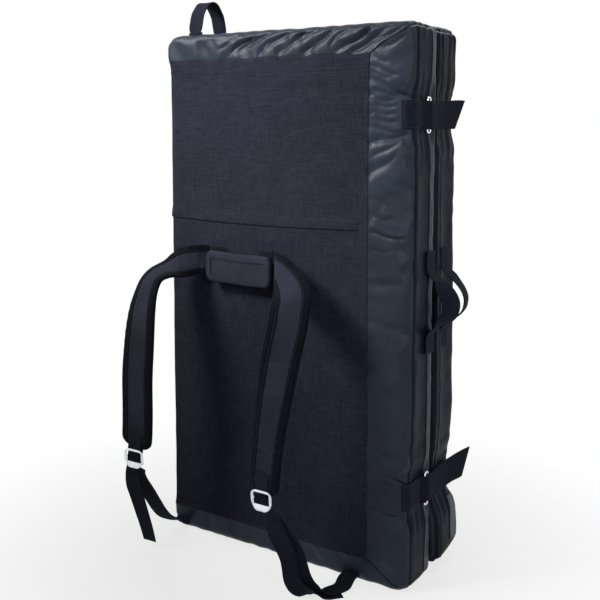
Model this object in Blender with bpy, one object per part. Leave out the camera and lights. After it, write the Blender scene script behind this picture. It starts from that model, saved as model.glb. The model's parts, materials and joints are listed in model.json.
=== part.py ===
# Folded bouldering crash pad: two foam-filled halves joined along one long edge,
# standing on a short end, with its carrying harness on the front face.
# Metres, +Z up, +X towards the edge that opens, the harness faces -Y.
# The origin is the middle of the front half's base.

import math

import bmesh
import bpy
from mathutils import Vector
from mathutils.geometry import interpolate_bezier

# Pad
PAD_HEIGHT = 1.0
PAD_WIDTH = 0.53
HALF_DEPTH = 0.102
HALVES_GAP = 0.003
OUTER_EDGE_RADIUS = 0.026
LANDING_EDGE_RADIUS = 0.011
END_EDGE_RADIUS = 0.009
FACE_CROWN = 0.008
WALL_DRAW_IN = 0.003
SEAT_GAP = 0.0003

# Cover, foams and zips
COVER_THICKNESS = 0.0013
FOAM_FIT = 0.0005
LANDING_FOAM = 0.020
ZIP_SLOT = 0.006
ZIP_END_MARGIN = 0.085
ZIP_TAPE_WIDTH = 0.024
ZIP_TAPE = 0.0008
ZIP_TAPE_OVERRUN = 0.032
ZIP_ROW_REACH = 0.033
SLIDER_LENGTH = 0.016
SLIDER_WIDTH = 0.010
SLIDER_THICKNESS = 0.0022
SLIDER_NOSE_WIDTH = 0.008
SLIDER_NECK = 0.002
SLIDER_PULL_LENGTH = 0.030
SLIDER_PULL_WIDTH = 0.004
SLIDER_PULL_THICKNESS = 0.0011

# Fabric hinge between the halves
HINGE_OUTSET = 0.003
HINGE_BEAD_RADIUS = 0.0014
HINGE_STRIP = 0.0008
HINGE_STRIP_REACH = 0.045
HINGE_END_MARGIN = 0.030

# Back panels
PANEL_THICKNESS = 0.0012
PANEL_EDGE_BAND = 0.078
PANEL_END_BAND = 0.046
PANEL_WRAP = 0.012
PANEL_SEAM_FROM_TOP = 0.340
PANEL_OVERLAP = 0.014
PANEL_HEM_RISE = 0.008

# Closures
UPPER_CLOSURE_FROM_TOP = 0.154
LOWER_CLOSURE_HEIGHT = 0.170
CLOSURE_RING_DEPTHS = {"upper": 0.066, "lower": 0.080}
CLOSURE_WEBBING = 0.050
WEBBING_THICKNESS = 0.0020
PATCHES_ON_FACE = {"upper": 0.023, "lower": 0.012}
PATCH_LAYERS = 2
EYE_LEAN = 0.0097
PINCH_DEPTH = 0.005
PINCH_SIDE_MARGIN = 0.003
PINCH_FADE = 0.040
PINCH_REACH = 0.060
RING_WIRE = 0.004
RING_BAR_SPACING = 0.012
RING_INNER_MARGIN = 0.0015
RING_CORNER = 0.0035
RING_SIDES = 8
STRAP_LENGTHS = {"upper": 0.092, "lower": 0.122}
STRAP_FLARES = {"upper": 0.014, "lower": 0.022}
STRAP_RISES = {"upper": 0.002, "lower": 0.018}
STRAP_TIP_SLANT = 0.028
STRAP_INNER_LEG = 0.016
STRAP_BASE_LENGTH = 0.052

# Side handles
HANDLE_WEBBING = 0.034
HANDLE_THICKNESS = 0.003
HANDLE_SPAN = 0.185
HANDLE_MIDDLE_SHARE = 0.5135
HANDLE_TAB_LENGTH = 0.030
HANDLE_REACHES = {"front": 0.056, "rear": 0.044}
HANDLE_PIVOT_REACH = 0.018
HANDLE_STEP = 0.022
HANDLE_BEND_OUT_SHARE = 0.35
HANDLE_BEND_DROP_SHARE = 0.55
HANDLE_DEPTHS = {"front": 0.021, "rear": 0.041}

# Drag loop on the top end
LOOP_WEBBING = 0.032
LOOP_HEIGHT = 0.068
LOOP_FROM_FOLD = 0.060
LOOP_FOOT_HEIGHT = 0.018
LOOP_FOOT_INSET = 0.003
LOOP_SWING = math.radians(60)
LOOP_FOOT_LIP_DEGREES = 30
LOOP_FOOT_SIDE_SHARE = 0.9
LOOP_CROWN_SHARE = 0.75
LOOP_END_SHARES = (0.97, 0.8, 0.5, 0.0)

# Label
LABEL_WIDTH = 0.030
LABEL_HEIGHT = 0.087
LABEL_THICKNESS = 0.0010
LABEL_BOTTOM = 0.040
LABEL_FROM_OUTER = 0.040

# Harness
HARNESS_FROM_FOLD = 0.187
ROOT_SPREAD = 0.076
ROOT_HEIGHT = 0.568
ROOT_PATCH_WIDTH = 0.032
ROOT_PATCH_HEIGHT = 0.058
ROOT_STANDOFF = 0.0015
ROOT_BACKSET = 0.003
STRAP_PAD_WIDTH = 0.068
STRAP_ROOT_WIDTH = 0.056
STRAP_PAD_THICKNESS = 0.009
STRAP_ROOT_THICKNESS = 0.004
STRAP_SPLAY = 0.092
STRAP_BOW = 0.122
STRAP_DROP = 0.355
HAUL_WEBBING = 0.038
HAUL_STANDOFF = 0.011
HAUL_SLOPE = 0.010
HAUL_PAD_LENGTH = 0.146
HAUL_PAD_HEIGHT = 0.060
HAUL_PAD_THICKNESS = 0.008
HAUL_PAD_CORNER = 0.012
HAUL_PAD_EDGE = 0.0025
HAUL_PAD_DROP = 0.012
HAUL_WRAP = 0.0014
HAUL_WRAP_FIT = 0.0005
HAUL_SEAT = 0.0036
HAUL_END_GAP = 0.00125
ROOT_LIP = 0.005

# Strap adjusters
ADJUSTER_WIDTH = 0.043
ADJUSTER_LENGTH = 0.052
ADJUSTER_THICKNESS = 0.0034
ADJUSTER_CORNER = 0.009
ADJUSTER_RAIL = 0.0045
ADJUSTER_TOP_BAR = 0.0034
ADJUSTER_MIDDLE_BAR = 0.006
ADJUSTER_LEVER = 0.011
ADJUSTER_TOP_WINDOW = 0.009
BUCKLE_TAB_WIDTH = 0.030
BUCKLE_TAB_SEWN = 0.026
BAR_FIT = 0.0004
BAR_DROP = 0.010
BAR_DIAGONAL_SHARE = math.sqrt(0.5)
TAB_END_GAP = 0.0006

# Lower webbing
LOWER_WEBBING = 0.031
LOWER_ANCHORS = {"left": 0.026, "right": 0.420}
ANCHOR_TAB_HEIGHT = 0.009
LOWER_SWAY = 0.050
WEBBING_STEPS = 3
HANGING_TAIL = "left"
FLOOR_CLEARANCE = 0.0006
WEBBING_LEAD = 0.006
WEBBING_END_GAP = 0.00045

HALF_WIDTH = PAD_WIDTH / 2
REAR_LANDING_Y = HALF_DEPTH / 2 + HALVES_GAP
HINGE_X = -HALF_WIDTH - HINGE_OUTSET
HINGE_Y = HALF_DEPTH / 2 + HALVES_GAP / 2
SIDES = {"left": -1, "right": 1}
CLOSURE_HEIGHTS = {"upper": PAD_HEIGHT - UPPER_CLOSURE_FROM_TOP, "lower": LOWER_CLOSURE_HEIGHT}
PANEL_SEAM_HEIGHT = PAD_HEIGHT - PANEL_SEAM_FROM_TOP
HANDLE_TOP = PAD_HEIGHT * HANDLE_MIDDLE_SHARE + HANDLE_SPAN / 2
HANDLE_BOTTOM = HANDLE_TOP - HANDLE_SPAN

# Shares along a shoulder strap: sideways splay, forward bow, drop
STRAP_SHARES = {
    "left": (
        (0.00, 0.000, 0.000),
        (0.26, 0.140, 0.000),
        (0.70, 0.380, 0.048),
        (0.85, 0.700, 0.100),
        (0.88, 0.885, 0.250),
        (0.90, 0.967, 0.460),
        (0.93, 0.990, 0.640),
        (0.94, 0.985, 0.800),
        (0.98, 0.967, 0.930),
        (1.03, 0.950, 1.000),
    ),
    "right": (
        (0.00, 0.000, 0.000),
        (0.18, 0.140, 0.000),
        (0.52, 0.360, 0.038),
        (0.98, 0.680, 0.105),
        (1.02, 0.845, 0.230),
        (0.93, 0.900, 0.370),
        (0.82, 0.934, 0.550),
        (0.70, 0.934, 0.720),
        (0.60, 0.918, 0.900),
        (0.52, 0.885, 1.045),
    ),
}
# Direction of the strap's outer edge at each point: sideways, backward, up
STRAP_EDGE_SHARES = {
    "left": (
        (0.00, 0.00, 1.00),
        (0.00, 0.00, 1.00),
        (0.50, 0.70, 0.45),
        (0.85, 0.45, 0.10),
        (0.97, 0.16, 0.00),
        (0.97, -0.02, 0.00),
        (0.97, -0.05, 0.00),
        (0.97, -0.05, 0.00),
        (0.97, -0.05, 0.05),
        (0.97, -0.05, 0.05),
    ),
    "right": (
        (0.00, 0.00, 1.00),
        (0.00, 0.00, 1.00),
        (0.50, 0.50, 0.70),
        (0.80, 0.55, 0.35),
        (0.90, 0.42, 0.05),
        (0.95, 0.28, 0.00),
        (0.98, 0.08, 0.05),
        (0.98, -0.10, 0.08),
        (0.97, -0.20, 0.10),
        (0.97, -0.20, 0.10),
    ),
}
STRAP_WIDTH_SHARES = (0.0, 0.05, 0.45, 0.90, 1.0, 1.0, 1.0, 1.0, 0.98, 0.90)

# Shares of the lower webbing between adjuster and anchor: way across, sway to the
# side, forward, up; the tail leaves the adjuster the same way
LOWER_SHARES = {
    "left": ((0.0, 0.00, 1.00, 1.00), (0.1, 0.12, 0.84, 0.74), (0.3, -0.04, 0.58, 0.46),
             (0.6, -0.12, 0.36, 0.26), (0.88, -0.04, 0.20, 0.17), (1.0, 0.00, 0.09, 0.13),
             (1.0, 0.00, 0.00, 0.12)),
    "right": ((0.0, 0.00, 1.00, 1.00), (0.26, 0.00, 0.96, 0.70), (0.56, 0.00, 0.90, 0.36),
              (0.78, 0.00, 0.78, 0.09), (0.94, 0.00, 0.58, 0.042), (1.03, 0.00, 0.34, 0.042),
              (1.0, 0.00, 0.12, 0.075), (1.0, 0.00, 0.00, 0.085)),
}
TAIL_SHARES = {
    "left": ((0.0, 0.00, 1.00, 1.00), (0.0, 0.26, 1.01, 0.80), (0.0, 0.48, 0.98, 0.54),
             (0.0, 0.58, 0.93, 0.30), (0.0, 0.60, 0.88, 0.12)),
    "right": ((0.0, 0.00, 1.00, 1.00), (0.2, 0.00, 1.02, 0.72), (0.44, 0.00, 0.99, 0.38),
              (0.68, 0.00, 0.86, 0.08), (0.88, 0.00, 0.66, 0.01), (1.08, 0.00, 0.44, 0.01)),
}
# Direction of the outer edge at the free end of a hanging tail
HANGING_EDGE_SHARES = (-0.90, 0.42, 0.0)

# Colour, roughness and metallic of each finish
FINISHES = {
    "coated_nylon": ((0.055, 0.066, 0.078, 1), 0.38, 0.0),
    "back_cloth": ((0.022, 0.025, 0.034, 1), 0.80, 0.0),
    "webbing": ((0.010, 0.011, 0.014, 1), 0.75, 0.0),
    "strap_cloth": ((0.024, 0.026, 0.033, 1), 0.78, 0.0),
    "foam": ((0.70, 0.68, 0.60, 1), 0.95, 0.0),
    "dense_foam": ((0.16, 0.17, 0.18, 1), 0.85, 0.0),
    "satin_metal": ((0.74, 0.76, 0.80, 1), 0.30, 1.0),
    "zip_coil": ((0.015, 0.015, 0.017, 1), 0.55, 0.0),
    "label_cloth": ((0.060, 0.078, 0.094, 1), 0.60, 0.0),
}


def clearScene():
    for thing in list(bpy.data.objects):
        bpy.data.objects.remove(thing, do_unlink=True)


def finish(name):
    material = bpy.data.materials.get(name)
    if material:
        return material
    colour, roughness, metallic = FINISHES[name]
    material = bpy.data.materials.new(name)
    material.use_nodes = True
    material.diffuse_color = colour
    shader = material.node_tree.nodes["Principled BSDF"]
    shader.inputs["Base Color"].default_value = colour
    shader.inputs["Roughness"].default_value = roughness
    shader.inputs["Metallic"].default_value = metallic
    return material


def addPiece(name, bm, finishName, pivot=None):
    """Make the mesh an object; a moving piece has its origin on its joint."""
    bmesh.ops.recalc_face_normals(bm, faces=bm.faces)
    mesh = bpy.data.meshes.new(name)
    if pivot is not None:
        bmesh.ops.translate(bm, verts=bm.verts, vec=-pivot)
    bm.to_mesh(mesh)
    bm.free()
    mesh.materials.append(finish(finishName))
    mesh.shade_smooth()
    mesh.set_sharp_from_angle(angle=math.radians(35))
    piece = bpy.data.objects.new(name, mesh)
    if pivot is not None:
        piece.location = pivot
    bpy.context.collection.objects.link(piece)
    return piece


def loft(rings, closed=False):
    """Join equal rings of points into one skin; open ends are capped."""
    bm = bmesh.new()
    loops = [[bm.verts.new(point) for point in ring] for ring in rings]
    spans = list(zip(loops, loops[1:]))
    if closed:
        spans.append((loops[-1], loops[0]))
    for low, high in spans:
        for i in range(len(low)):
            j = (i + 1) % len(low)
            bm.faces.new((low[i], low[j], high[j], high[i]))
    if not closed:
        bm.faces.new(loops[0])
        bm.faces.new(loops[-1])
    return bm


def steadySlope(before, after):
    """Slope between two steps that never makes the curve overshoot."""
    parts = []
    for a, b in zip(before, after):
        least = min(abs(a), abs(b))
        mean = (a + b) / 2
        parts.append(math.copysign(min(abs(mean), 2 * least), mean) if a * b > 0 else 0.0)
    return Vector(parts)


def smoothPath(points, steps):
    """Points along a smooth curve through the given ones."""
    count = len(points)
    gaps = [b - a for a, b in zip(points, points[1:])]
    slopes = [gaps[0]]
    for before, after in zip(gaps, gaps[1:]):
        slopes.append(steadySlope(before, after))
    slopes.append(gaps[-1])
    path = []
    for i in range(count - 1):
        stretch = interpolate_bezier(points[i], points[i] + slopes[i] / 3,
                                     points[i + 1] - slopes[i + 1] / 3, points[i + 1],
                                     steps + 1)
        path.extend(stretch[:-1])
    path.append(points[-1].copy())
    return path


def tangents(path):
    result = []
    for i in range(len(path)):
        before = path[max(i - 1, 0)]
        after = path[min(i + 1, len(path) - 1)]
        result.append((after - before).normalized())
    return result


def bandRings(path, edges, widths, thicknesses, section, slant=0.0):
    """Cross-sections of a strap: edges point from its middle to one side."""
    rings = []
    last = len(path) - 1
    for i, (place, along) in enumerate(zip(path, tangents(path))):
        side = (edges[i] - along * edges[i].dot(along)).normalized()
        out = along.cross(side)
        ring = []
        for across, depth in section:
            point = place + side * across * widths[i] / 2 + out * depth * thicknesses[i] / 2
            if i == last:
                point = point + along * slant * across
            ring.append(point)
        rings.append(ring)
    return rings


FLAT_SECTION_SHARES = ((-1, -1), (1, -1), (1, 1), (-1, 1))
PADDED_SECTION_SHARES = ((-1.0, -0.30), (-0.80, -1.0), (0.80, -1.0), (1.0, -0.30),
                         (1.0, 0.20), (0.80, 0.80), (0.0, 1.0), (-0.80, 0.80), (-1.0, 0.20))


def band(name, path, edge, width, thickness, finishName, pivot=None,
         section=FLAT_SECTION_SHARES, slant=0.0):
    """A strap swept along a path; edge, width and thickness may vary along it."""
    count = len(path)
    edges = edge if isinstance(edge, list) else [edge] * count
    widths = width if isinstance(width, list) else [width] * count
    thicknesses = thickness if isinstance(thickness, list) else [thickness] * count
    rings = bandRings(path, edges, widths, thicknesses, section, slant)
    return addPiece(name, loft(rings), finishName, pivot)


def plate(outline, windows, push):
    """A flat plate with windows: outlines are loops of points, push its thickness."""
    bm = bmesh.new()
    edges = []
    for loop in [outline] + windows:
        verts = [bm.verts.new(point) for point in loop]
        for i in range(len(verts)):
            edges.append(bm.edges.new((verts[i], verts[(i + 1) % len(verts)])))
    bmesh.ops.triangle_fill(bm, use_beauty=True, edges=edges)
    grown = bmesh.ops.extrude_face_region(bm, geom=list(bm.faces))["geom"]
    moved = [item for item in grown if isinstance(item, bmesh.types.BMVert)]
    bmesh.ops.translate(bm, verts=moved, vec=push)
    return bm


def arcPoints(centre, radius, start, end, steps):
    """Points of an arc in a plane, as (a, b) pairs; angles in degrees."""
    points = []
    for i in range(steps + 1):
        angle = math.radians(start + (end - start) * i / steps)
        points.append((centre[0] + radius * math.cos(angle),
                       centre[1] + radius * math.sin(angle)))
    return points


def roundedRectangle(width, height, radius, steps):
    corners = ((1, 1, 0), (-1, 1, 90), (-1, -1, 180), (1, -1, 270))
    points = []
    for right, up, start in corners:
        centre = (right * (width / 2 - radius), up * (height / 2 - radius))
        points.extend(arcPoints(centre, radius, start, start + 90, steps))
    return points


# The cover's outline. A place on it is a run, its distance along the outline from
# the fold side of the landing face, past the opening wall and the outer face, to
# the fold wall. The stretches and where each one starts:
LANDING_RUN = PAD_WIDTH - 2 * LANDING_EDGE_RADIUS
SMALL_ARC = LANDING_EDGE_RADIUS * math.pi / 2
WALL_RUN = HALF_DEPTH - LANDING_EDGE_RADIUS - OUTER_EDGE_RADIUS
LARGE_ARC = OUTER_EDGE_RADIUS * math.pi / 2
FACE_RUN = PAD_WIDTH - 2 * OUTER_EDGE_RADIUS
STRETCHES = (("landing", LANDING_RUN), ("landing_corner", SMALL_ARC),
             ("opening_wall", WALL_RUN), ("opening_corner", LARGE_ARC),
             ("face", FACE_RUN), ("fold_corner", LARGE_ARC),
             ("fold_wall", WALL_RUN), ("fold_landing_corner", SMALL_ARC))


def stretchStart(name):
    run = 0.0
    for stretch, length in STRETCHES:
        if stretch == name:
            return run
        run += length
    return run


OUTLINE_LENGTH = sum(length for stretch, length in STRETCHES)
OPENING_WALL_START = stretchStart("opening_wall")
FACE_START = stretchStart("face")
FOLD_WALL_START = stretchStart("fold_wall")
ZIP_MIDDLE = FOLD_WALL_START + WALL_RUN / 2
PANEL_START_ON_FACE = PANEL_EDGE_BAND - OUTER_EDGE_RADIUS


def stationRuns():
    """Where the cover's outline has its points."""
    counts = {"landing": 1, "landing_corner": 2, "opening_wall": 3, "opening_corner": 3,
              "face": 6, "fold_corner": 3, "fold_landing_corner": 2}
    runs = []
    for stretch, length in STRETCHES:
        start = stretchStart(stretch)
        if stretch == "fold_wall":
            middle = start + length / 2
            runs.extend((start, middle - ZIP_SLOT / 2, middle + ZIP_SLOT / 2))
        elif stretch == "face":
            rest = length - PANEL_START_ON_FACE
            steps = counts[stretch]
            runs.append(start)
            runs.extend(start + PANEL_START_ON_FACE + rest * i / steps for i in range(steps))
        else:
            steps = counts[stretch]
            runs.extend(start + length * i / steps for i in range(steps))
    return runs


def closureShare(z):
    """1 where a closure strap squeezes the cover, fading to 0 above and below."""
    share = 0.0
    for height in CLOSURE_HEIGHTS.values():
        beyond = abs(z - height) - CLOSURE_WEBBING / 2 - PINCH_SIDE_MARGIN
        if beyond <= 0:
            share = 1.0
        elif beyond < PINCH_FADE:
            share = max(share, (1 + math.cos(math.pi * beyond / PINCH_FADE)) / 2)
    return share


def levelHeights():
    """Heights of the cover's rings between its rounded ends."""
    marks = [END_EDGE_RADIUS, PAD_HEIGHT - END_EDGE_RADIUS]
    for height in CLOSURE_HEIGHTS.values():
        flat = CLOSURE_WEBBING / 2 + PINCH_SIDE_MARGIN
        marks.extend((height - flat, height + flat))
        marks.extend((height - flat - PINCH_FADE, height + flat + PINCH_FADE))
    marks.sort()
    heights = []
    longest = PAD_HEIGHT / 8
    for low, high in zip(marks, marks[1:]):
        steps = max(1, math.ceil((high - low) / longest))
        heights.extend(low + (high - low) * i / steps for i in range(steps))
    heights.append(marks[-1])
    return heights


END_ANGLES = (0, 40)
RUNS = stationRuns()
HEIGHTS = levelHeights()


def stretchAt(run):
    """Stretch of the outline at a run, with the distance and share along it."""
    for stretch, length in STRETCHES:
        if run < length:
            break
        run -= length
    return stretch, run, run / length


def relief(run, z):
    """How far the stuffed cover stands out of its plain outline."""
    stretch, along, share = stretchAt(run)
    upright = 1 - (2 * z / PAD_HEIGHT - 1) ** 2
    squeeze = PINCH_DEPTH * closureShare(z)
    if stretch == "face":
        fade = max(0.0, 1 - along / PINCH_REACH)
        return FACE_CROWN * (1 - (2 * share - 1) ** 2) * upright - squeeze * fade * fade
    if stretch == "opening_wall":
        return -WALL_DRAW_IN * math.sin(math.pi * share) * upright - squeeze
    if stretch == "opening_corner":
        return -squeeze
    if stretch == "landing_corner":
        return -squeeze * share
    return 0.0


def between(stations, value):
    """The stations either side of a value and its share of the way between them."""
    for low, high in zip(stations, stations[1:]):
        if value <= high:
            break
    return low, high, min(1.0, max(0.0, (value - low) / (high - low)))


def skinRelief(run, z):
    """Relief of the cover's flat facets, or of the plain curve where it is higher."""
    low, high, right = between(RUNS + [OUTLINE_LENGTH], run)
    bottom, top, up = between(HEIGHTS, z)
    corners = [relief(a % OUTLINE_LENGTH, b) for b in (bottom, top) for a in (low, high)]
    lower = corners[0] * (1 - right) + corners[1] * right
    upper = corners[2] * (1 - right) + corners[3] * right
    return max(relief(run, z), lower * (1 - up) + upper * up)


def outlinePlace(run, z, out):
    """Across and outward place of a point of the cover, out metres off its skin."""
    run = run % OUTLINE_LENGTH
    offset = out + skinRelief(run, z)
    stretch, run, share = stretchAt(run)
    inner = LANDING_EDGE_RADIUS
    outer = OUTER_EDGE_RADIUS
    wall = HALF_WIDTH
    angle = None
    if stretch == "landing":
        place, normal = (-wall + inner + run, 0.0), (0.0, -1.0)
    elif stretch == "opening_wall":
        place, normal = (wall, inner + run), (1.0, 0.0)
    elif stretch == "face":
        place, normal = (wall - outer - run, HALF_DEPTH), (0.0, 1.0)
    elif stretch == "fold_wall":
        place, normal = (-wall, HALF_DEPTH - outer - run), (-1.0, 0.0)
    elif stretch == "landing_corner":
        centre, radius, angle = (wall - inner, inner), inner, -90 + 90 * share
    elif stretch == "opening_corner":
        centre, radius, angle = (wall - outer, HALF_DEPTH - outer), outer, 90 * share
    elif stretch == "fold_corner":
        centre, radius, angle = (-wall + outer, HALF_DEPTH - outer), outer, 90 + 90 * share
    else:
        centre, radius, angle = (-wall + inner, inner), inner, 180 + 90 * share
    if angle is not None:
        normal = (math.cos(math.radians(angle)), math.sin(math.radians(angle)))
        place = (centre[0] + radius * normal[0], centre[1] + radius * normal[1])
    return place[0] + normal[0] * offset, place[1] + normal[1] * offset


def world(half, across, outward, z):
    """A place of either half: outward runs from its landing face to its outer face."""
    if half == "front":
        return Vector((across, HALF_DEPTH / 2 - outward, z))
    return Vector((across, REAR_LANDING_Y + outward, z))


def onCover(half, run, z, out=0.0):
    across, outward = outlinePlace(run, z, out)
    return world(half, across, outward, z)


def endedLevels(out):
    """Height and inset of every ring, with the rounded ends at top and bottom."""
    levels = []
    for angle in END_ANGLES:
        turn = math.radians(angle)
        inset = -END_EDGE_RADIUS + (END_EDGE_RADIUS + out) * math.sin(turn)
        levels.append((END_EDGE_RADIUS - (END_EDGE_RADIUS + out) * math.cos(turn), inset))
    top = [(PAD_HEIGHT - z, inset) for z, inset in reversed(levels)]
    return levels + [(z, out) for z in HEIGHTS] + top


def coverRings(half, runs, out):
    """Rings of points round the cover, out metres off its skin."""
    rings = []
    for z, inset in endedLevels(out):
        rings.append([onCover(half, run, z, inset) for run in runs])
    return rings


def coverPatch(name, half, startRun, endRun, lowZ, highZ, thickness, finishName,
               lift=SEAT_GAP, liftAt=None, pivot=None):
    """A piece of cloth lying on the cover between two runs and two heights."""
    runs = sorted({startRun, endRun} | {r for r in RUNS if startRun < r < endRun})
    heights = sorted({lowZ, highZ} | {z for z in HEIGHTS if lowZ < z < highZ})
    if liftAt:
        heights = sorted(set(heights) | {z for z, rise in liftAt if lowZ < z < highZ})
    rings = []
    for z in heights:
        rise = lift
        if liftAt:
            rise += interpolate(liftAt, z)
        under = [onCover(half, run, z, rise) for run in runs]
        over = [onCover(half, run, z, rise + thickness) for run in reversed(runs)]
        rings.append(under + over)
    return addPiece(name, loft(rings), finishName, pivot)


def interpolate(table, value):
    """Value of a broken line given by its sorted corners."""
    if value <= table[0][0]:
        return table[0][1]
    for (low, first), (high, second) in zip(table, table[1:]):
        if value <= high:
            return first + (second - first) * (value - low) / (high - low)
    return table[-1][1]


def makeCover(half):
    """Sewn cover: an outer and an inner skin that meet round the zip slot."""
    bm = bmesh.new()
    skins = []
    for out in (0.0, -COVER_THICKNESS):
        rings = coverRings(half, RUNS, out)
        skins.append([[bm.verts.new(point) for point in ring] for ring in rings])
    slotColumn = RUNS.index(ZIP_MIDDLE - ZIP_SLOT / 2)
    levels = endedLevels(0.0)
    slotLow, slotHigh = ZIP_END_MARGIN, PAD_HEIGHT - ZIP_END_MARGIN
    slotRows = [i for i in range(len(levels) - 1)
                if levels[i][0] > slotLow - ZIP_ROW_REACH
                and levels[i + 1][0] < slotHigh + ZIP_ROW_REACH]
    count = len(RUNS)
    for loops in skins:
        for i in range(len(loops) - 1):
            for j in range(count):
                if j == slotColumn and i in slotRows:
                    continue
                k = (j + 1) % count
                bm.faces.new((loops[i][j], loops[i][k], loops[i + 1][k], loops[i + 1][j]))
        bm.faces.new(loops[0])
        bm.faces.new(loops[-1])
    outer, inner = skins
    left, right = slotColumn, (slotColumn + 1) % count
    for i in slotRows:
        for j in (left, right):
            bm.faces.new((outer[i][j], outer[i + 1][j], inner[i + 1][j], inner[i][j]))
    for i in (slotRows[0], slotRows[-1] + 1):
        bm.faces.new((outer[i][left], outer[i][right], inner[i][right], inner[i][left]))
    addPiece(half + "_cover", bm, "coated_nylon")


def makeFoams(half):
    """Thick open-cell block under the outer face, firm sheet under the landing face."""
    inset = -(COVER_THICKNESS + FOAM_FIT)
    sheetTop = COVER_THICKNESS + FOAM_FIT + LANDING_FOAM
    blockLow = sheetTop + FOAM_FIT
    wallLow = OPENING_WALL_START + blockLow - LANDING_EDGE_RADIUS
    wallHigh = FOLD_WALL_START + HALF_DEPTH - OUTER_EDGE_RADIUS - blockLow
    runs = [wallLow] + [r for r in RUNS if wallLow < r < wallHigh] + [wallHigh]
    addPiece(half + "_foam_block", loft(coverRings(half, runs, inset)), "foam")
    wallLow = FOLD_WALL_START + HALF_DEPTH - OUTER_EDGE_RADIUS - sheetTop - OUTLINE_LENGTH
    wallHigh = OPENING_WALL_START + sheetTop - LANDING_EDGE_RADIUS
    corner = stretchStart("fold_landing_corner") - OUTLINE_LENGTH
    runs = [wallLow, corner, corner + SMALL_ARC / 2, 0.0]
    runs += [r for r in RUNS if 0 < r < wallHigh] + [wallHigh]
    addPiece(half + "_landing_foam", loft(coverRings(half, runs, inset)), "dense_foam")


def makeZip(half):
    """Zip chain over the cover's slot, and its slider with a cord pull."""
    low = ZIP_END_MARGIN - ZIP_TAPE_OVERRUN
    high = PAD_HEIGHT - low
    coverPatch(half + "_zip_chain", half, ZIP_MIDDLE - ZIP_TAPE_WIDTH / 2,
               ZIP_MIDDLE + ZIP_TAPE_WIDTH / 2, low, high, ZIP_TAPE, "zip_coil")
    lift = SEAT_GAP * 2 + ZIP_TAPE
    if half == "front":
        base = ZIP_END_MARGIN
        tip = base + SLIDER_LENGTH + SLIDER_PULL_LENGTH
        neck = base + SLIDER_LENGTH
    else:
        base = PAD_HEIGHT - ZIP_END_MARGIN
        tip = base - SLIDER_LENGTH - SLIDER_PULL_LENGTH
        neck = base - SLIDER_LENGTH
    middle = onCover(half, ZIP_MIDDLE, base, lift + SLIDER_THICKNESS / 2)
    out = Vector((-1, 0, 0))
    side = Vector((0, 1, 0))
    rings = []
    pullStart = neck + math.copysign(SLIDER_NECK, neck - base)
    steps = ((base, SLIDER_NOSE_WIDTH, SLIDER_THICKNESS),
             (neck, SLIDER_WIDTH, SLIDER_THICKNESS),
             (pullStart, SLIDER_PULL_WIDTH, SLIDER_PULL_THICKNESS),
             (tip, SLIDER_PULL_WIDTH, SLIDER_PULL_THICKNESS))
    for z, width, thickness in steps:
        place = Vector((middle.x, middle.y, z))
        rings.append([place + side * (width / 2 * a) + out * (thickness / 2 * b)
                      for a, b in FLAT_SECTION_SHARES])
    addPiece(half + "_zip_slider", loft(rings), "satin_metal", middle)


def makeHinge():
    """Fabric hinge: a strip with a bead on the fold axis, and the strip it turns in."""
    low, high = HINGE_END_MARGIN, PAD_HEIGHT - HINGE_END_MARGIN
    reach = -HALF_WIDTH + HINGE_STRIP_REACH
    near = HALF_DEPTH / 2 + SEAT_GAP
    far = near + HINGE_STRIP
    joinAngle = math.degrees(math.asin((HINGE_Y - near) / HINGE_BEAD_RADIUS))
    endAngle = math.degrees(math.asin((HINGE_Y - far) / HINGE_BEAD_RADIUS))
    bead = arcPoints((HINGE_X, HINGE_Y), HINGE_BEAD_RADIUS, -endAngle, 360 - joinAngle, 10)
    outline = [(reach, near), (reach, far)] + bead
    bm = plate([Vector((x, y, low)) for x, y in outline], [], Vector((0, 0, high - low)))
    addPiece("front_hinge_strip", bm, "back_cloth")
    low2, high2 = REAR_LANDING_Y - SEAT_GAP - HINGE_STRIP, REAR_LANDING_Y - SEAT_GAP
    start = HINGE_X + HINGE_BEAD_RADIUS + SEAT_GAP
    outline = [(start, low2), (reach, low2), (reach, high2), (start, high2)]
    bm = plate([Vector((x, y, low)) for x, y in outline], [], Vector((0, 0, high - low)))
    addPiece("rear_hinge_strip", bm, "back_cloth")


def makePanels():
    """Tough cloth panels on the outer faces, wrapped round the fold edge."""
    start = FACE_START + PANEL_START_ON_FACE
    end = FOLD_WALL_START + PANEL_WRAP
    low, high = PANEL_END_BAND, PAD_HEIGHT - PANEL_END_BAND
    seam = PANEL_SEAM_HEIGHT
    coverPatch("front_lower_panel", "front", start, end, low, seam, PANEL_THICKNESS,
               "back_cloth")
    rise = PANEL_THICKNESS + SEAT_GAP
    hem = seam - PANEL_OVERLAP
    clear = seam + SEAT_GAP
    lifts = [(hem, rise), (clear, rise), (clear + PANEL_HEM_RISE, 0.0)]
    coverPatch("front_upper_panel", "front", start, end, hem, high, PANEL_THICKNESS,
               "back_cloth", liftAt=lifts)
    coverPatch("rear_panel", "rear", start, end, low, high, PANEL_THICKNESS, "back_cloth")


def wallOut(height, outward):
    """How far across the opening wall stands at a height and outward place."""
    run = OPENING_WALL_START + outward - LANDING_EDGE_RADIUS
    return outlinePlace(max(run, OPENING_WALL_START), height, 0.0)[0]


def ringPlace(closure):
    """Middle of a closure's ring, on the front half's opening wall."""
    height = CLOSURE_HEIGHTS[closure]
    outward = HALF_DEPTH - CLOSURE_RING_DEPTHS[closure]
    eye = SEAT_GAP + WEBBING_THICKNESS + BAR_FIT + RING_WIRE / 2
    wall = max(wallOut(height, outward + away) for away in (RING_BAR_SPACING, -WALL_RUN / 2))
    return Vector((wall + eye, HALF_DEPTH / 2 - outward, height))


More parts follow.
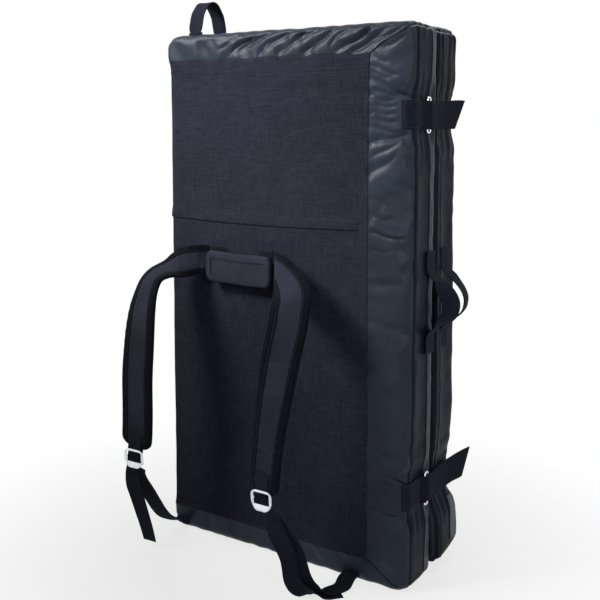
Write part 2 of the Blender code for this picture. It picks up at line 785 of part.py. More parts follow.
def makeRing(closure):
    """Rectangular wire ring; it swings about its front bar."""
    middle = ringPlace(closure)
    height = CLOSURE_WEBBING + 2 * (RING_INNER_MARGIN + RING_CORNER)
    outline = roundedRectangle(RING_BAR_SPACING, height, RING_CORNER, 3)
    path = [middle + Vector((0, a, b)) for a, b in outline]
    rings = []
    count = len(path)
    for i in range(count):
        along = (path[(i + 1) % count] - path[i - 1]).normalized()
        side = Vector((1, 0, 0))
        out = along.cross(side)
        ring = []
        for j in range(RING_SIDES):
            turn = 2 * math.pi * (j + 0.5) / RING_SIDES
            radius = RING_WIRE / 2
            ring.append(path[i] + side * (radius * math.cos(turn))
                        + out * (radius * math.sin(turn)))
        rings.append(ring)
    pivot = middle - Vector((0, RING_BAR_SPACING / 2, 0))
    addPiece(closure + "_ring", loft(rings, closed=True), "satin_metal", pivot)


def makeAnchorPatch(closure):
    """Doubled webbing sewn round the near corner, with an eye for the ring."""
    middle = ringPlace(closure)
    height = CLOSURE_HEIGHTS[closure]
    bar = (middle.x, middle.y - RING_BAR_SPACING / 2)
    eye = RING_WIRE / 2 + BAR_FIT
    outer = eye + WEBBING_THICKNESS
    wallEnd = OPENING_WALL_START + HALF_DEPTH / 2 - bar[1] - LANDING_EDGE_RADIUS
    faceEnd = FACE_START - OUTER_EDGE_RADIUS + PATCHES_ON_FACE[closure]
    wallEnd += EYE_LEAN
    runs = [wallEnd] + [r for r in RUNS if wallEnd < r < faceEnd] + [faceEnd]
    thickness = WEBBING_THICKNESS * PATCH_LAYERS
    under = [onCover("front", run, height, SEAT_GAP) for run in runs]
    over = [onCover("front", run, height, SEAT_GAP + thickness) for run in reversed(runs)]
    nose = arcPoints(bar, outer, 0, 180, 8)
    outline = [(p.x, p.y) for p in over] + nose + [(p.x, p.y) for p in under]
    hole = arcPoints(bar, eye, 0, 315, 7)
    low = height - CLOSURE_WEBBING / 2
    push = Vector((0, 0, CLOSURE_WEBBING))
    bm = plate([Vector((x, y, low)) for x, y in outline],
               [[Vector((x, y, low)) for x, y in hole]], push)
    addPiece(closure + "_anchor_patch", bm, "webbing")


def makeClosureStrap(closure):
    """Strap folded round the ring's rear bar; its tail peels away from the pad."""
    middle = ringPlace(closure)
    height = CLOSURE_HEIGHTS[closure]
    bar = (middle.x, middle.y + RING_BAR_SPACING / 2)
    turn = RING_WIRE / 2 + BAR_FIT + WEBBING_THICKNESS / 2
    # The inner leg lies on the pad; the bend goes round the bar's front to the outside
    inner = [(bar[0] - turn, bar[1] + STRAP_INNER_LEG)]
    bend = arcPoints(bar, turn, 180, 360, 8)
    length, flare = STRAP_LENGTHS[closure], STRAP_FLARES[closure]
    outerX = bar[0] + turn
    shares = ((0.18, 0.00), (0.36, 0.05), (0.54, 0.20), (0.72, 0.46), (1.00, 1.00))
    tail = [(outerX + flare * rise, bar[1] + length * run) for run, rise in shares]
    path = [Vector((x, y, height)) for x, y in inner + bend]
    for (x, y), (run, rise) in zip(tail, shares):
        risen = STRAP_RISES[closure] * (run - shares[0][0])
        path.append(Vector((x, y, height + risen)))
    band(closure + "_closure_strap", path, Vector((0, 0, 1)), CLOSURE_WEBBING,
         WEBBING_THICKNESS, "webbing", Vector((bar[0], bar[1], height)),
         slant=STRAP_TIP_SLANT / 2)


def makeStrapBase(closure):
    """Webbing sewn on the rear half's wall, where the closure strap starts."""
    height = CLOSURE_HEIGHTS[closure]
    start = OPENING_WALL_START
    coverPatch(closure + "_strap_base", "rear", start, start + STRAP_BASE_LENGTH,
               height - CLOSURE_WEBBING / 2, height + CLOSURE_WEBBING / 2,
               WEBBING_THICKNESS, "webbing")


def handleAxis(half):
    outward = HANDLE_DEPTHS[half]
    return world(half, HALF_WIDTH + HANDLE_PIVOT_REACH, outward, 0.0)


def makeHandle(half):
    """Webbing handle: two sewn tabs on the wall and the grip that flops between."""
    axis = handleAxis(half)
    outward = HANDLE_DEPTHS[half]
    thick = HANDLE_THICKNESS
    top = HANDLE_TOP - HANDLE_TAB_LENGTH
    bottom = HANDLE_BOTTOM + HANDLE_TAB_LENGTH
    edge = Vector((0, 1, 0))
    for label, end, turn in (("top", HANDLE_TOP, -1), ("bottom", HANDLE_BOTTOM, 1)):
        sewn = end + turn * HANDLE_TAB_LENGTH
        pivotZ = sewn + turn * HANDLE_STEP
        wall = max(wallOut(z, outward + away * HANDLE_WEBBING / 2)
                   for z in (end, sewn) for away in (-1, 1))
        seat = wall + SEAT_GAP + thick / 2
        bendX = seat + (axis.x - seat) * HANDLE_BEND_OUT_SHARE
        bendZ = sewn + turn * HANDLE_STEP * HANDLE_BEND_DROP_SHARE
        stops = ((seat, end), (seat, sewn), (bendX, bendZ), (axis.x, pivotZ))
        points = [Vector((x, axis.y, z)) for x, z in stops]
        piece = bandRings(points, [edge] * 4, [HANDLE_WEBBING] * 4, [thick] * 4,
                          FLAT_SECTION_SHARES)
        flattenRing(piece[-1], pivotZ - turn * SEAT_GAP / 2)
        addPiece(half + "_handle_" + label + "_tab", loft(piece), "webbing")
    topPivot = top - HANDLE_STEP
    bottomPivot = bottom + HANDLE_STEP
    middle = (topPivot + bottomPivot) / 2
    span = topPivot - bottomPivot
    out = HALF_WIDTH + HANDLE_REACHES[half] - axis.x
    shares = ((0.5, 0.0), (0.36, 0.42), (0.20, 0.80), (0.0, 1.0), (-0.20, 0.90),
              (-0.36, 0.55), (-0.5, 0.0))
    points = [Vector((axis.x + out * reach, axis.y, middle + span * up))
              for up, reach in shares]
    path = smoothPath(points, 2)
    count = len(path)
    rings = bandRings(path, [edge] * count, [HANDLE_WEBBING] * count, [thick] * count,
                      FLAT_SECTION_SHARES)
    flattenRing(rings[0], topPivot - SEAT_GAP / 2)
    flattenRing(rings[-1], bottomPivot + SEAT_GAP / 2)
    addPiece(half + "_handle_grip", loft(rings), "webbing", axis + Vector((0, 0, middle)))


def flattenRing(ring, z):
    for point in ring:
        point.z = z


def makeDragLoop():
    """Webbing loop on the top end: two sewn feet and the loop that flops sideways."""
    x = -HALF_WIDTH + LOOP_FROM_FOLD
    half = LOOP_WEBBING / 2
    thick = WEBBING_THICKNESS
    axisZ = PAD_HEIGHT + LOOP_FOOT_HEIGHT
    front = -HALF_DEPTH / 2 + END_EDGE_RADIUS + LOOP_FOOT_INSET
    rear = HALF_DEPTH / 2 - END_EDGE_RADIUS - LOOP_FOOT_INSET
    lowAngle = 90 - math.degrees(LOOP_SWING)
    cup = half + SEAT_GAP
    lip = lowAngle + LOOP_FOOT_LIP_DEGREES
    arc = arcPoints((x, axisZ), cup, 180 + lip, 360 - lip, 6)
    rise = (half + arc[0][0] - x) * math.tan(math.radians(lowAngle))
    sideZ = arc[0][1] + rise * LOOP_FOOT_SIDE_SHARE
    base = PAD_HEIGHT + SEAT_GAP
    outline = [(x - half, base), (x + half, base), (x + half, sideZ)]
    outline += list(reversed(arc)) + [(x - half, sideZ)]
    for label, y in (("front", front), ("rear", rear)):
        bm = plate([Vector((a, y - thick / 2, b)) for a, b in outline], [],
                   Vector((0, thick, 0)))
        addPiece("drag_loop_" + label + "_foot", bm, "webbing")
    # The loop's rings are narrower near its ends, which are round about the axis
    legTop = PAD_HEIGHT + LOOP_HEIGHT
    crown = (rear - front) / 2
    turnZ = legTop - crown * LOOP_CROWN_SHARE
    path, widths = [], []
    for share in LOOP_END_SHARES:
        path.append(Vector((x, front, axisZ - half * share)))
        widths.append(2 * half * math.sqrt(1 - share * share))
    over = arcPoints((0.0, 0.0), 1.0, 180, 0, 10)
    for a, b in over:
        path.append(Vector((x, (front + rear) / 2 + crown * a, turnZ + b * (legTop - turnZ))))
    widths += [2 * half] * len(over)
    for share in reversed(LOOP_END_SHARES):
        path.append(Vector((x, rear, axisZ - half * share)))
        widths.append(2 * half * math.sqrt(1 - share * share))
    band("drag_loop", path, Vector((1, 0, 0)), widths, thick, "webbing",
         Vector((x, 0, axisZ)))


def makeLabel():
    """Blank sewn label low on the rear half's opening wall."""
    end = FACE_START - LABEL_FROM_OUTER + LABEL_WIDTH / 2
    coverPatch("blank_label", "rear", end - LABEL_WIDTH, end, LABEL_BOTTOM,
               LABEL_BOTTOM + LABEL_HEIGHT, LABEL_THICKNESS, "label_cloth")


def panelFront(x, z):
    """Y of the back panel's front skin at a place on the outer face."""
    run = FACE_START + HALF_WIDTH - OUTER_EDGE_RADIUS - x
    return onCover("front", run, z, SEAT_GAP + PANEL_THICKNESS).y


def harnessX():
    return -HALF_WIDTH + HARNESS_FROM_FOLD


def rootSeat(side):
    """Foremost Y of the back panel behind a strap root."""
    x = harnessX() + SIDES[side] * ROOT_SPREAD
    tall = ROOT_PATCH_HEIGHT / 2
    return min(panelFront(x - SIDES[side] * a, ROOT_HEIGHT + b)
               for a in (0.0, ROOT_PATCH_WIDTH + STRAP_ROOT_THICKNESS) for b in (-tall, tall))


def rootPlace(side):
    """Middle of a shoulder strap's hinge line, just clear of its sewn root."""
    x = harnessX() + SIDES[side] * ROOT_SPREAD
    y = rootSeat(side) - ROOT_STANDOFF - STRAP_ROOT_THICKNESS
    return Vector((x, y, ROOT_HEIGHT))


def strapLine(side):
    """Path, edge directions and widths of a shoulder strap."""
    root = rootPlace(side)
    out = SIDES[side]
    points = [root + Vector((out * STRAP_SPLAY * a, -STRAP_BOW * b, -STRAP_DROP * c))
              for a, b, c in STRAP_SHARES[side]]
    edges = [Vector((out * a, b, c)) for a, b, c in STRAP_EDGE_SHARES[side]]
    steps = 2
    path = smoothPath(points, steps)
    spread = smoothPath(edges, steps)
    widths, thicknesses = [], []
    for i in range(len(path)):
        share = interpolate(list(enumerate(STRAP_WIDTH_SHARES)), i / steps)
        widths.append(STRAP_ROOT_WIDTH + (STRAP_PAD_WIDTH - STRAP_ROOT_WIDTH) * share)
        thicknesses.append(STRAP_ROOT_THICKNESS
                           + (STRAP_PAD_THICKNESS - STRAP_ROOT_THICKNESS) * share)
    return path, spread, widths, thicknesses


def makeShoulderStrap(side):
    path, edges, widths, thicknesses = strapLine(side)
    # One side's strap is a mirrored cut, so its padded face stays outside
    if SIDES[side] > 0:
        section = [(a, -b) for a, b in PADDED_SECTION_SHARES]
    else:
        section = PADDED_SECTION_SHARES
    band(side + "_shoulder_strap", path, edges, widths, thicknesses, "strap_cloth",
         rootPlace(side), section=section)


def makeRootPatch(side):
    """Webbing block sewn on the panel, where a shoulder strap starts."""
    root = rootPlace(side)
    inward = -SIDES[side]
    nearX = root.x + inward * (ROOT_BACKSET + SEAT_GAP)
    farX = nearX + inward * ROOT_PATCH_WIDTH
    back = rootSeat(side) - SEAT_GAP
    front = root.y - STRAP_ROOT_THICKNESS / 2
    low = ROOT_HEIGHT - ROOT_PATCH_HEIGHT / 2
    sewnY = back - WEBBING_THICKNESS
    step = nearX + inward * ROOT_LIP
    outline = [(nearX, front), (nearX, back), (farX, back), (farX, sewnY),
               (step, sewnY), (step, front)]
    bm = plate([Vector((x, y, low)) for x, y in outline], [],
               Vector((0, 0, ROOT_PATCH_HEIGHT)))
    addPiece(side + "_root_patch", bm, "webbing")


def strapEnd(side):
    """Frame at a shoulder strap's lower end: place, along, across and outward."""
    path, edges = strapLine(side)[:2]
    along = (path[-1] - path[-2]).normalized()
    across = (edges[-1] - along * edges[-1].dot(along)).normalized()
    out = along.cross(across)
    if out.y > 0:
        out = -out
    return path[-1], along, across, out


def local(frame, along, across, out):
    place, a, c, o = frame
    return place + a * along + c * across + o * out


def adjusterBar():
    """Outward place of the adjuster's top bar from the strap's middle."""
    turn = ADJUSTER_TOP_BAR * BAR_DIAGONAL_SHARE + BAR_FIT + WEBBING_THICKNESS / 2
    padding = STRAP_PAD_THICKNESS - STRAP_ROOT_THICKNESS
    end = STRAP_ROOT_THICKNESS + padding * STRAP_WIDTH_SHARES[-1]
    return end / 2 + SEAT_GAP + WEBBING_THICKNESS / 2 - turn, turn


def makeBuckleTab(side):
    """Webbing loop sewn on the strap's end, which holds the adjuster's top bar."""
    frame = strapEnd(side)
    barOut, turn = adjusterBar()
    bend = arcPoints((BAR_DROP, barOut), turn, 90, -90, 8)
    line = [(-BUCKLE_TAB_SEWN, barOut + turn)] + bend + [(TAB_END_GAP, barOut - turn)]
    path = [local(frame, a, 0.0, o) for a, o in line]
    band(side + "_buckle_tab", path, frame[2], BUCKLE_TAB_WIDTH, WEBBING_THICKNESS,
         "webbing", rootPlace(side))


def makeAdjuster(side):
    """Cast ladder-lock adjuster with a top bar, a middle bar and a wide lever."""
    frame = strapEnd(side)
    barOut = adjusterBar()[0]
    top = BAR_DROP - ADJUSTER_TOP_BAR / 2
    middle = top + ADJUSTER_LENGTH / 2

    def lift(points):
        back = barOut - ADJUSTER_THICKNESS / 2
        return [local(frame, middle + b, a, back) for a, b in points]

    outline = roundedRectangle(ADJUSTER_WIDTH, ADJUSTER_LENGTH, ADJUSTER_CORNER, 4)
    inside = ADJUSTER_WIDTH - 2 * ADJUSTER_RAIL
    first = -ADJUSTER_LENGTH / 2 + ADJUSTER_TOP_BAR
    second = first + ADJUSTER_TOP_WINDOW + ADJUSTER_MIDDLE_BAR
    last = ADJUSTER_LENGTH / 2 - ADJUSTER_LEVER
    windows = []
    for low, high in ((first, first + ADJUSTER_TOP_WINDOW), (second, last)):
        tall = high - low
        points = roundedRectangle(inside, tall, ADJUSTER_TOP_WINDOW / 4, 2)
        windows.append(lift([(a, b + (low + high) / 2) for a, b in points]))
    bm = plate(lift(outline), windows, frame[3] * ADJUSTER_THICKNESS)
    pivot = local(frame, BAR_DROP, 0.0, barOut)
    addPiece(side + "_adjuster", bm, "satin_metal", pivot)


def anchorPlace(side):
    x = -HALF_WIDTH + LOWER_ANCHORS[side]
    run = FACE_START + HALF_WIDTH - OUTER_EDGE_RADIUS - x
    if run > FACE_START + FACE_RUN:
        run = FACE_START + FACE_RUN
        x = -HALF_WIDTH + OUTER_EDGE_RADIUS
    return Vector((x, onCover("front", run, ANCHOR_TAB_HEIGHT).y, 0.0))


def routed(side, shares, out, end, lowest):
    """Turn shares between the adjuster and the anchor into a route on the floor."""
    frame, barOut = strapEnd(side), adjusterBar()[0]
    lever = BAR_DROP - ADJUSTER_TOP_BAR / 2 + ADJUSTER_LENGTH - ADJUSTER_LEVER
    points = [local(frame, lever - WEBBING_THICKNESS, 0.0, barOut + out)]
    start = local(frame, lever + ADJUSTER_LEVER + WEBBING_LEAD, 0.0, barOut + out)
    for a, sway, b, c in shares:
        x = start.x + (end.x - start.x) * a + LOWER_SWAY * sway
        y = end.y + (start.y - end.y) * b
        z = max(lowest, start.z * c)
        points.append(Vector((x, y, z)))
    return points


def makeLowerWebbing(side):
    """Anchor tab, the webbing from it to the adjuster, and the free tail."""
    anchor = anchorPlace(side)
    width = LOWER_WEBBING
    tabLow, tabHigh = END_EDGE_RADIUS, END_EDGE_RADIUS + ANCHOR_TAB_HEIGHT
    seat = anchor.y - SEAT_GAP
    thick = WEBBING_THICKNESS
    runMiddle = FACE_START + HALF_WIDTH - OUTER_EDGE_RADIUS - anchor.x
    tabStart = runMiddle - width / 2
    coverPatch(side + "_anchor_tab", "front", tabStart, tabStart + width, tabLow, tabHigh,
               thick, "webbing")
    frame, barOut = strapEnd(side), adjusterBar()[0]
    lowest = thick / 2 + FLOOR_CLEARANCE
    away = ADJUSTER_THICKNESS / 2 + thick
    end = Vector((anchor.x, seat - thick - WEBBING_END_GAP, anchor.z))
    route = routed(side, LOWER_SHARES[side], -away, end, lowest)
    path = smoothPath(route, WEBBING_STEPS)
    edges = webbingEdges(path, frame[2])
    band(side + "_lower_webbing", path, edges, width, thick, "webbing")
    route = routed(side, TAIL_SHARES[side], away, end, lowest)
    path = smoothPath(route, WEBBING_STEPS)
    edges = webbingEdges(path, frame[2], side == HANGING_TAIL)
    pivot = local(frame, BAR_DROP, 0.0, barOut)
    band(side + "_webbing_tail", path, edges, width, thick, "webbing", pivot)


def webbingEdges(path, across, hanging=False):
    """Edge directions that turn from the adjuster's along a webbing: to level where
    it runs out on the floor, or to a set direction where it hangs."""
    edges = []
    count = len(path)
    for i, along in enumerate(tangents(path)):
        share = max(0, i - WEBBING_STEPS) / (count - 1 - WEBBING_STEPS)
        level = Vector(HANGING_EDGE_SHARES)
        if not hanging:
            level = Vector((-along.y, along.x, 0)).normalized()
        if level.dot(across) < 0:
            level = -level
        edges.append(across * (1 - share) + level * share)
    return edges


def makeHaulHandle():
    """Webbing between the strap roots, a cloth wrap round it and its padded front."""
    thick = WEBBING_THICKNESS
    middle = harnessX()
    z = ROOT_HEIGHT
    y = panelFront(middle, z) - HAUL_STANDOFF
    left, right = [rootSeat(side) - HAUL_SEAT for side in SIDES]
    outerEnd = ROOT_SPREAD - ROOT_BACKSET - SEAT_GAP - ROOT_LIP - HAUL_END_GAP
    rise = ROOT_SPREAD - ROOT_PATCH_WIDTH
    route = ((-outerEnd, left), (-rise, left), (-rise + HAUL_SLOPE, y),
             (rise - HAUL_SLOPE, y), (rise, right), (outerEnd, right))
    points = [Vector((middle + a, b, z)) for a, b in route]
    band("haul_webbing", points, Vector((0, 0, 1)), HAUL_WEBBING, thick, "webbing")
    half = rise - HAUL_SLOPE
    fit = HAUL_WRAP_FIT
    holeDeep, holeTall = thick + 2 * fit, HAUL_WEBBING + 2 * fit
    wall = 2 * HAUL_WRAP
    outline = roundedRectangle(holeDeep + wall, holeTall + wall, HAUL_WRAP, 2)
    hole = roundedRectangle(holeDeep, holeTall, fit, 1)
    bm = plate([Vector((middle - half, y + a, z + b)) for a, b in outline],
               [[Vector((middle - half, y + a, z + b)) for a, b in hole]],
               Vector((2 * half, 0, 0)))
    addPiece("haul_wrap", bm, "strap_cloth")
    back = y - holeDeep / 2 - HAUL_WRAP - SEAT_GAP
    outline = roundedRectangle(HAUL_PAD_LENGTH, HAUL_PAD_HEIGHT, HAUL_PAD_CORNER, 4)
    bm = plate([Vector((middle + a, back, z - HAUL_PAD_DROP + b)) for a, b in outline], [],
               Vector((0, -HAUL_PAD_THICKNESS, 0)))
    pad = addPiece("haul_pad", bm, "strap_cloth")
    bevel = pad.modifiers.new("rounded rim", "BEVEL")
    bevel.width = HAUL_PAD_EDGE
    bevel.segments = 2
    bevel.limit_method = "ANGLE"


def main():
    clearScene()
    for half in ("front", "rear"):
        makeCover(half)
        makeFoams(half)
        makeZip(half)
        makeHandle(half)
    makeHinge()
    makePanels()
    for closure in CLOSURE_HEIGHTS:
        makeRing(closure)
        makeAnchorPatch(closure)
        makeClosureStrap(closure)
        makeStrapBase(closure)
    makeDragLoop()
    makeLabel()
    for side in SIDES:
        makeShoulderStrap(side)
        makeRootPatch(side)
        makeBuckleTab(side)
        makeAdjuster(side)
        makeLowerWebbing(side)
    makeHaulHandle()


main()
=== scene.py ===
# Folded bouldering crash pad with its carrying harness, standing on a short end.
import json
import math

import bmesh
import bpy
import numpy as np
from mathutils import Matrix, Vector, noise
from mathutils.bvhtree import BVHTree


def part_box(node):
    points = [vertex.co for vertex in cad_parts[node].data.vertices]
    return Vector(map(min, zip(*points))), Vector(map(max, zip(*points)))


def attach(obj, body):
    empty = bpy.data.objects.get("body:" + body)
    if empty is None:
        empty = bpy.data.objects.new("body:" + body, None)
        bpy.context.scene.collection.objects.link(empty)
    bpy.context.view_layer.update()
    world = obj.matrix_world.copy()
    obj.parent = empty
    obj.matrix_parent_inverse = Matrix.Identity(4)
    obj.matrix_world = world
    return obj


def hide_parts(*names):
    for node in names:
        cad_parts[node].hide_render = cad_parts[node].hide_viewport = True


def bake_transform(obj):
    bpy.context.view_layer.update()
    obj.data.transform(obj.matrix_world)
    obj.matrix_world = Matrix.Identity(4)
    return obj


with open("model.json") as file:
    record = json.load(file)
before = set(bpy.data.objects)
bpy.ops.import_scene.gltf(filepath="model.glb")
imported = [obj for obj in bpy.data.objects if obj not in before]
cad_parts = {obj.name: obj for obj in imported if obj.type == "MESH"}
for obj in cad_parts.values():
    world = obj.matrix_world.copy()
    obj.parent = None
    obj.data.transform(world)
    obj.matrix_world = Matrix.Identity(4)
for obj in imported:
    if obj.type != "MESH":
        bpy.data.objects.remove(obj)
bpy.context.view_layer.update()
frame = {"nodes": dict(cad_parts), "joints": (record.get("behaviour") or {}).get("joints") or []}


def newObject(name, data):
    piece = bpy.data.objects.new(name, data)
    bpy.context.scene.collection.objects.link(piece)
    return piece


cameraSet = {"place": (0.901, -1.422, 0.832), "tilt": 84.16, "heading": 32.99,
             "lens": 53.39, "sensor": 36.0, "shiftX": 0.0245, "shiftY": -0.143}


def placeCamera():
    camera = newObject("camera", bpy.data.cameras.new("camera"))
    camera.location = cameraSet["place"]
    camera.rotation_euler = (math.radians(cameraSet["tilt"]), 0, math.radians(cameraSet["heading"]))
    camera.data.lens = cameraSet["lens"]
    camera.data.sensor_width = cameraSet["sensor"]
    camera.data.shift_x = cameraSet["shiftX"]
    camera.data.shift_y = cameraSet["shiftY"]
    bpy.context.scene.camera = camera
    print("camera placed")


# Shader sums are written as plain expressions on wires.
class Wire:
    def __init__(self, nodes, socket):
        self.nodes = nodes
        self.socket = socket

    def maths(self, operation, *others):
        return self.nodes.add("ShaderNodeMath", {"operation": operation}, (self,) + others)

    def __add__(self, other):
        return self.maths("ADD", other)

    def __mul__(self, other):
        return self.maths("MULTIPLY", other)

    def wave(self, spacing):
        return (self * (2 * math.pi / spacing)).maths("SINE")

    def clamped(self, low, high):
        return self.nodes.add("ShaderNodeMapRange", {"clamp": True}, {0: self, 1: low, 2: high})


# The shader nodes of a material or of the world.
class Nodes:
    def __init__(self, owner):
        owner.use_nodes = True
        self.tree = owner.node_tree

    # The one way to add a node: its settings first, then the values or wires of its sockets.
    def add(self, kind, settings=None, inputs=(), output=0):
        node = self.tree.nodes.new(kind)
        for key, value in (settings or {}).items():
            setattr(node, key, value)
        for key, value in inputs.items() if isinstance(inputs, dict) else enumerate(inputs):
            if isinstance(value, Wire):
                self.tree.links.new(value.socket, node.inputs[key])
            else:
                node.inputs[key].default_value = value
        return Wire(self, node.outputs[output])

    def feed(self, node, **wires):
        for socket, wire in wires.items():
            self.tree.links.new(wire.socket, self.tree.nodes[node].inputs[socket.replace("_", " ")])

    def vector(self, kind="Object"):
        return self.add("ShaderNodeTexCoord", output=kind)

    def split(self, vector, count=3):
        return [self.add("ShaderNodeSeparateXYZ", None, [vector], i) for i in range(count)]

    def noise(self, vector, scale, detail=3.0, rough=0.55):
        return self.add("ShaderNodeTexNoise", None,
                        {"Vector": vector, "Scale": scale, "Detail": detail, "Roughness": rough})

    def tint(self, mask, low, high):
        return self.add("ShaderNodeMix", {"data_type": "RGBA"}, {0: mask, 6: low + (1,), 7: high + (1,)}, 2)

    # 1 for rays from the camera and for what mirrors or clear pieces show, else 0.
    def sight(self):
        names = ("Is Camera Ray", "Is Glossy Ray", "Is Transmission Ray")
        camera, glossy, clear = [self.add("ShaderNodeLightPath", output=name) for name in names]
        return (camera + glossy + clear).clamped(0.0, 1.0)


class Finish(Nodes):
    def __init__(self, name, **uniform):
        self.material = bpy.data.materials.new(name)
        super().__init__(self.material)
        self.shader = self.tree.nodes["Principled BSDF"]
        for socket, value in uniform.items():
            self.shader.inputs[socket.replace("_", " ")].default_value = value

    # Colour from low to high where the shade passes the look's stops; grain varies the roughness.
    def paint(self, look, shade, grain, height, depth=1.0, strength=1.0, deeper=1.0):
        low, high = [tuple(c * deeper for c in look[end]) for end in ("low", "high")]
        base, share = look["rough"]
        bump = self.add("ShaderNodeBump", None, {"Height": height, "Distance": depth, "Strength": strength})
        self.feed("Principled BSDF", Base_Color=self.tint(shade.clamped(*look["stops"]), low, high),
                  Roughness=grain * share + base, Normal=bump)
        return self.material


def weighed(shares, *wires):
    total = wires[0] * shares[0]
    for wire, share in zip(wires[1:], shares[1:]):
        total = total + wire * share
    return total


nylonLook = {"low": (0.0150, 0.0215, 0.0325), "high": (0.0290, 0.0410, 0.0610), "stops": (0.3, 0.7),
             "rough": (0.24, 0.14), "thread": 0.0012, "relief": (0.00005, 0.0009), "strength": 0.8,
             "mottle": (7.0, 4.0), "crinkle": (55.0, 5.0, 0.6)}


def coatedNylon(name="coatedNylon", deeper=1.0, gloss=0.13):
    finish = Finish(name, Specular_IOR_Level=gloss)
    vector = finish.vector()
    x, y, z = finish.split(vector)
    mottle = finish.noise(vector, *nylonLook["mottle"])
    weave = (x + y).wave(nylonLook["thread"]) * z.wave(nylonLook["thread"])
    height = weighed(nylonLook["relief"], weave, finish.noise(vector, *nylonLook["crinkle"]))
    return finish.paint(nylonLook, mottle, mottle, height, 1.0, nylonLook["strength"], deeper)


clothLook = {"low": (0.0075, 0.0085, 0.0150), "high": (0.0440, 0.0480, 0.0720), "stops": (0.60, 1.35),
             "rough": (0.80, 0.12), "thread": 0.0017, "relief": 0.00022, "shares": (0.14, 0.45, 0.55, 0.35),
             "fleck": (620.0, 2.0, 0.7), "slub": (46.0, 3.0, 0.6), "slubShape": (1.0, 0.12),
             "wear": (5.0, 5.0, 0.6)}


def toughCloth():
    finish = Finish("toughCloth", Sheen_Weight=0.03, Sheen_Roughness=0.5, Specular_IOR_Level=0.015)
    vector = finish.vector()
    x, y, z = finish.split(vector)
    weave = (x + y).wave(clothLook["thread"]) * z.wave(clothLook["thread"])
    fleck = finish.noise(vector, *clothLook["fleck"])
    long, short = clothLook["slubShape"]
    level, upright = [finish.add("ShaderNodeMapping", {"vector_type": "TEXTURE"}, {0: vector, 3: scale})
                      for scale in ((long, long, short), (short, short, long))]
    slub = finish.noise(level, *clothLook["slub"]) + finish.noise(upright, *clothLook["slub"])
    shade = weighed(clothLook["shares"], weave, fleck, slub, finish.noise(vector, *clothLook["wear"]))
    return finish.paint(clothLook, shade, fleck, (weave + fleck) * clothLook["relief"])


strapLook = {"low": (0.0125, 0.0138, 0.0215), "high": (0.0600, 0.0650, 0.0920), "stops": (0.3, 1.0),
             "rough": (0.74, 0.12), "thread": 0.0013, "relief": 0.00015, "shares": (0.15, 0.6, 0.6),
             "fleck": (500.0, 2.0, 0.7), "wear": (11.0, 4.0)}


def strapCloth():
    finish = Finish("strapCloth", Sheen_Weight=0.04, Sheen_Roughness=0.5, Specular_IOR_Level=0.02)
    vector = finish.vector("UV")
    across, along = finish.split(vector, 2)
    weave = across.wave(strapLook["thread"]) * along.wave(strapLook["thread"])
    fleck = finish.noise(vector, *strapLook["fleck"])
    shade = weighed(strapLook["shares"], weave, fleck, finish.noise(finish.vector(), *strapLook["wear"]))
    return finish.paint(strapLook, shade, fleck, (weave + fleck) * strapLook["relief"])


webbingLook = {"low": (0.0044, 0.0052, 0.0085), "high": (0.0290, 0.0330, 0.0500), "stops": (0.0, 1.0),
               "rough": (0.64, 0.16), "relief": 0.00025, "shares": (0.22, 0.45, 0.5), "slant": 0.6,
               "fuzz": (900.0, 2.0, 0.7)}


def wovenWebbing(name="wovenWebbing", rib=0.0032, pick=0.0024, deeper=1.0):
    finish = Finish(name, Sheen_Weight=0.02, Sheen_Roughness=0.45, Specular_IOR_Level=0.03)
    across, along = finish.split(finish.vector("UV"), 2)
    chevron = (along + across.maths("PINGPONG", rib) * webbingLook["slant"]).wave(pick)
    groove = across.wave(rib).maths("ABSOLUTE")
    fuzz = finish.noise(finish.vector(), *webbingLook["fuzz"])
    shade = weighed(webbingLook["shares"], chevron, groove, fuzz)
    return finish.paint(webbingLook, shade, fuzz, (chevron + groove) * webbingLook["relief"], deeper=deeper)


metalLook = {"low": (0.62, 0.65, 0.70), "high": (0.86, 0.88, 0.92), "stops": (0.3, 0.65),
             "rough": (0.14, 0.10), "grain": (700.0, 3.0, 0.6), "smudge": (70.0, 4.0), "relief": 0.00003}


def satinMetal():
    finish = Finish("satinMetal", Metallic=1.0)
    grain = finish.noise(finish.vector(), *metalLook["grain"])
    smudge = finish.noise(finish.vector(), *metalLook["smudge"])
    return finish.paint(metalLook, smudge, grain * 1.2 + smudge, grain, metalLook["relief"])


def sewingThread(name, low, high):
    finish = Finish(name, Specular_IOR_Level=0.25)
    x, y, z = finish.split(finish.vector())
    twist = (x + y + z).wave(0.0007)
    look = {"low": low, "high": high, "stops": (-1.0, 1.0), "rough": (0.62, 0.06)}
    return finish.paint(look, twist, twist, twist, 0.00005)


def foamCells(name, wall, hollow, cell):
    finish = Finish(name)
    cells = finish.add("ShaderNodeTexVoronoi", None, {"Vector": finish.vector(), "Scale": 1 / cell})
    look = {"low": hollow, "high": wall, "stops": (0.0, 0.7), "rough": (0.95, 0.0)}
    return finish.paint(look, cells, cells, cells, 0.0004)


coilLook = {"low": (0.008, 0.008, 0.010), "high": (0.020, 0.020, 0.024), "stops": (0.3, 0.7),
            "rough": (0.35, 0.2), "mould": (900.0, 2.0), "relief": 0.00004}


def coilTeeth():
    finish = Finish("coilTeeth", Specular_IOR_Level=0.5)
    mould = finish.noise(finish.vector(), *coilLook["mould"])
    return finish.paint(coilLook, mould, mould, mould, coilLook["relief"])


labelLook = {"low": (0.048, 0.066, 0.082), "high": (0.082, 0.108, 0.130), "stops": (0.3, 0.8),
             "rough": (0.45, 0.2), "satin": 0.0009, "cloudy": (60.0, 4.0), "relief": 0.00006}


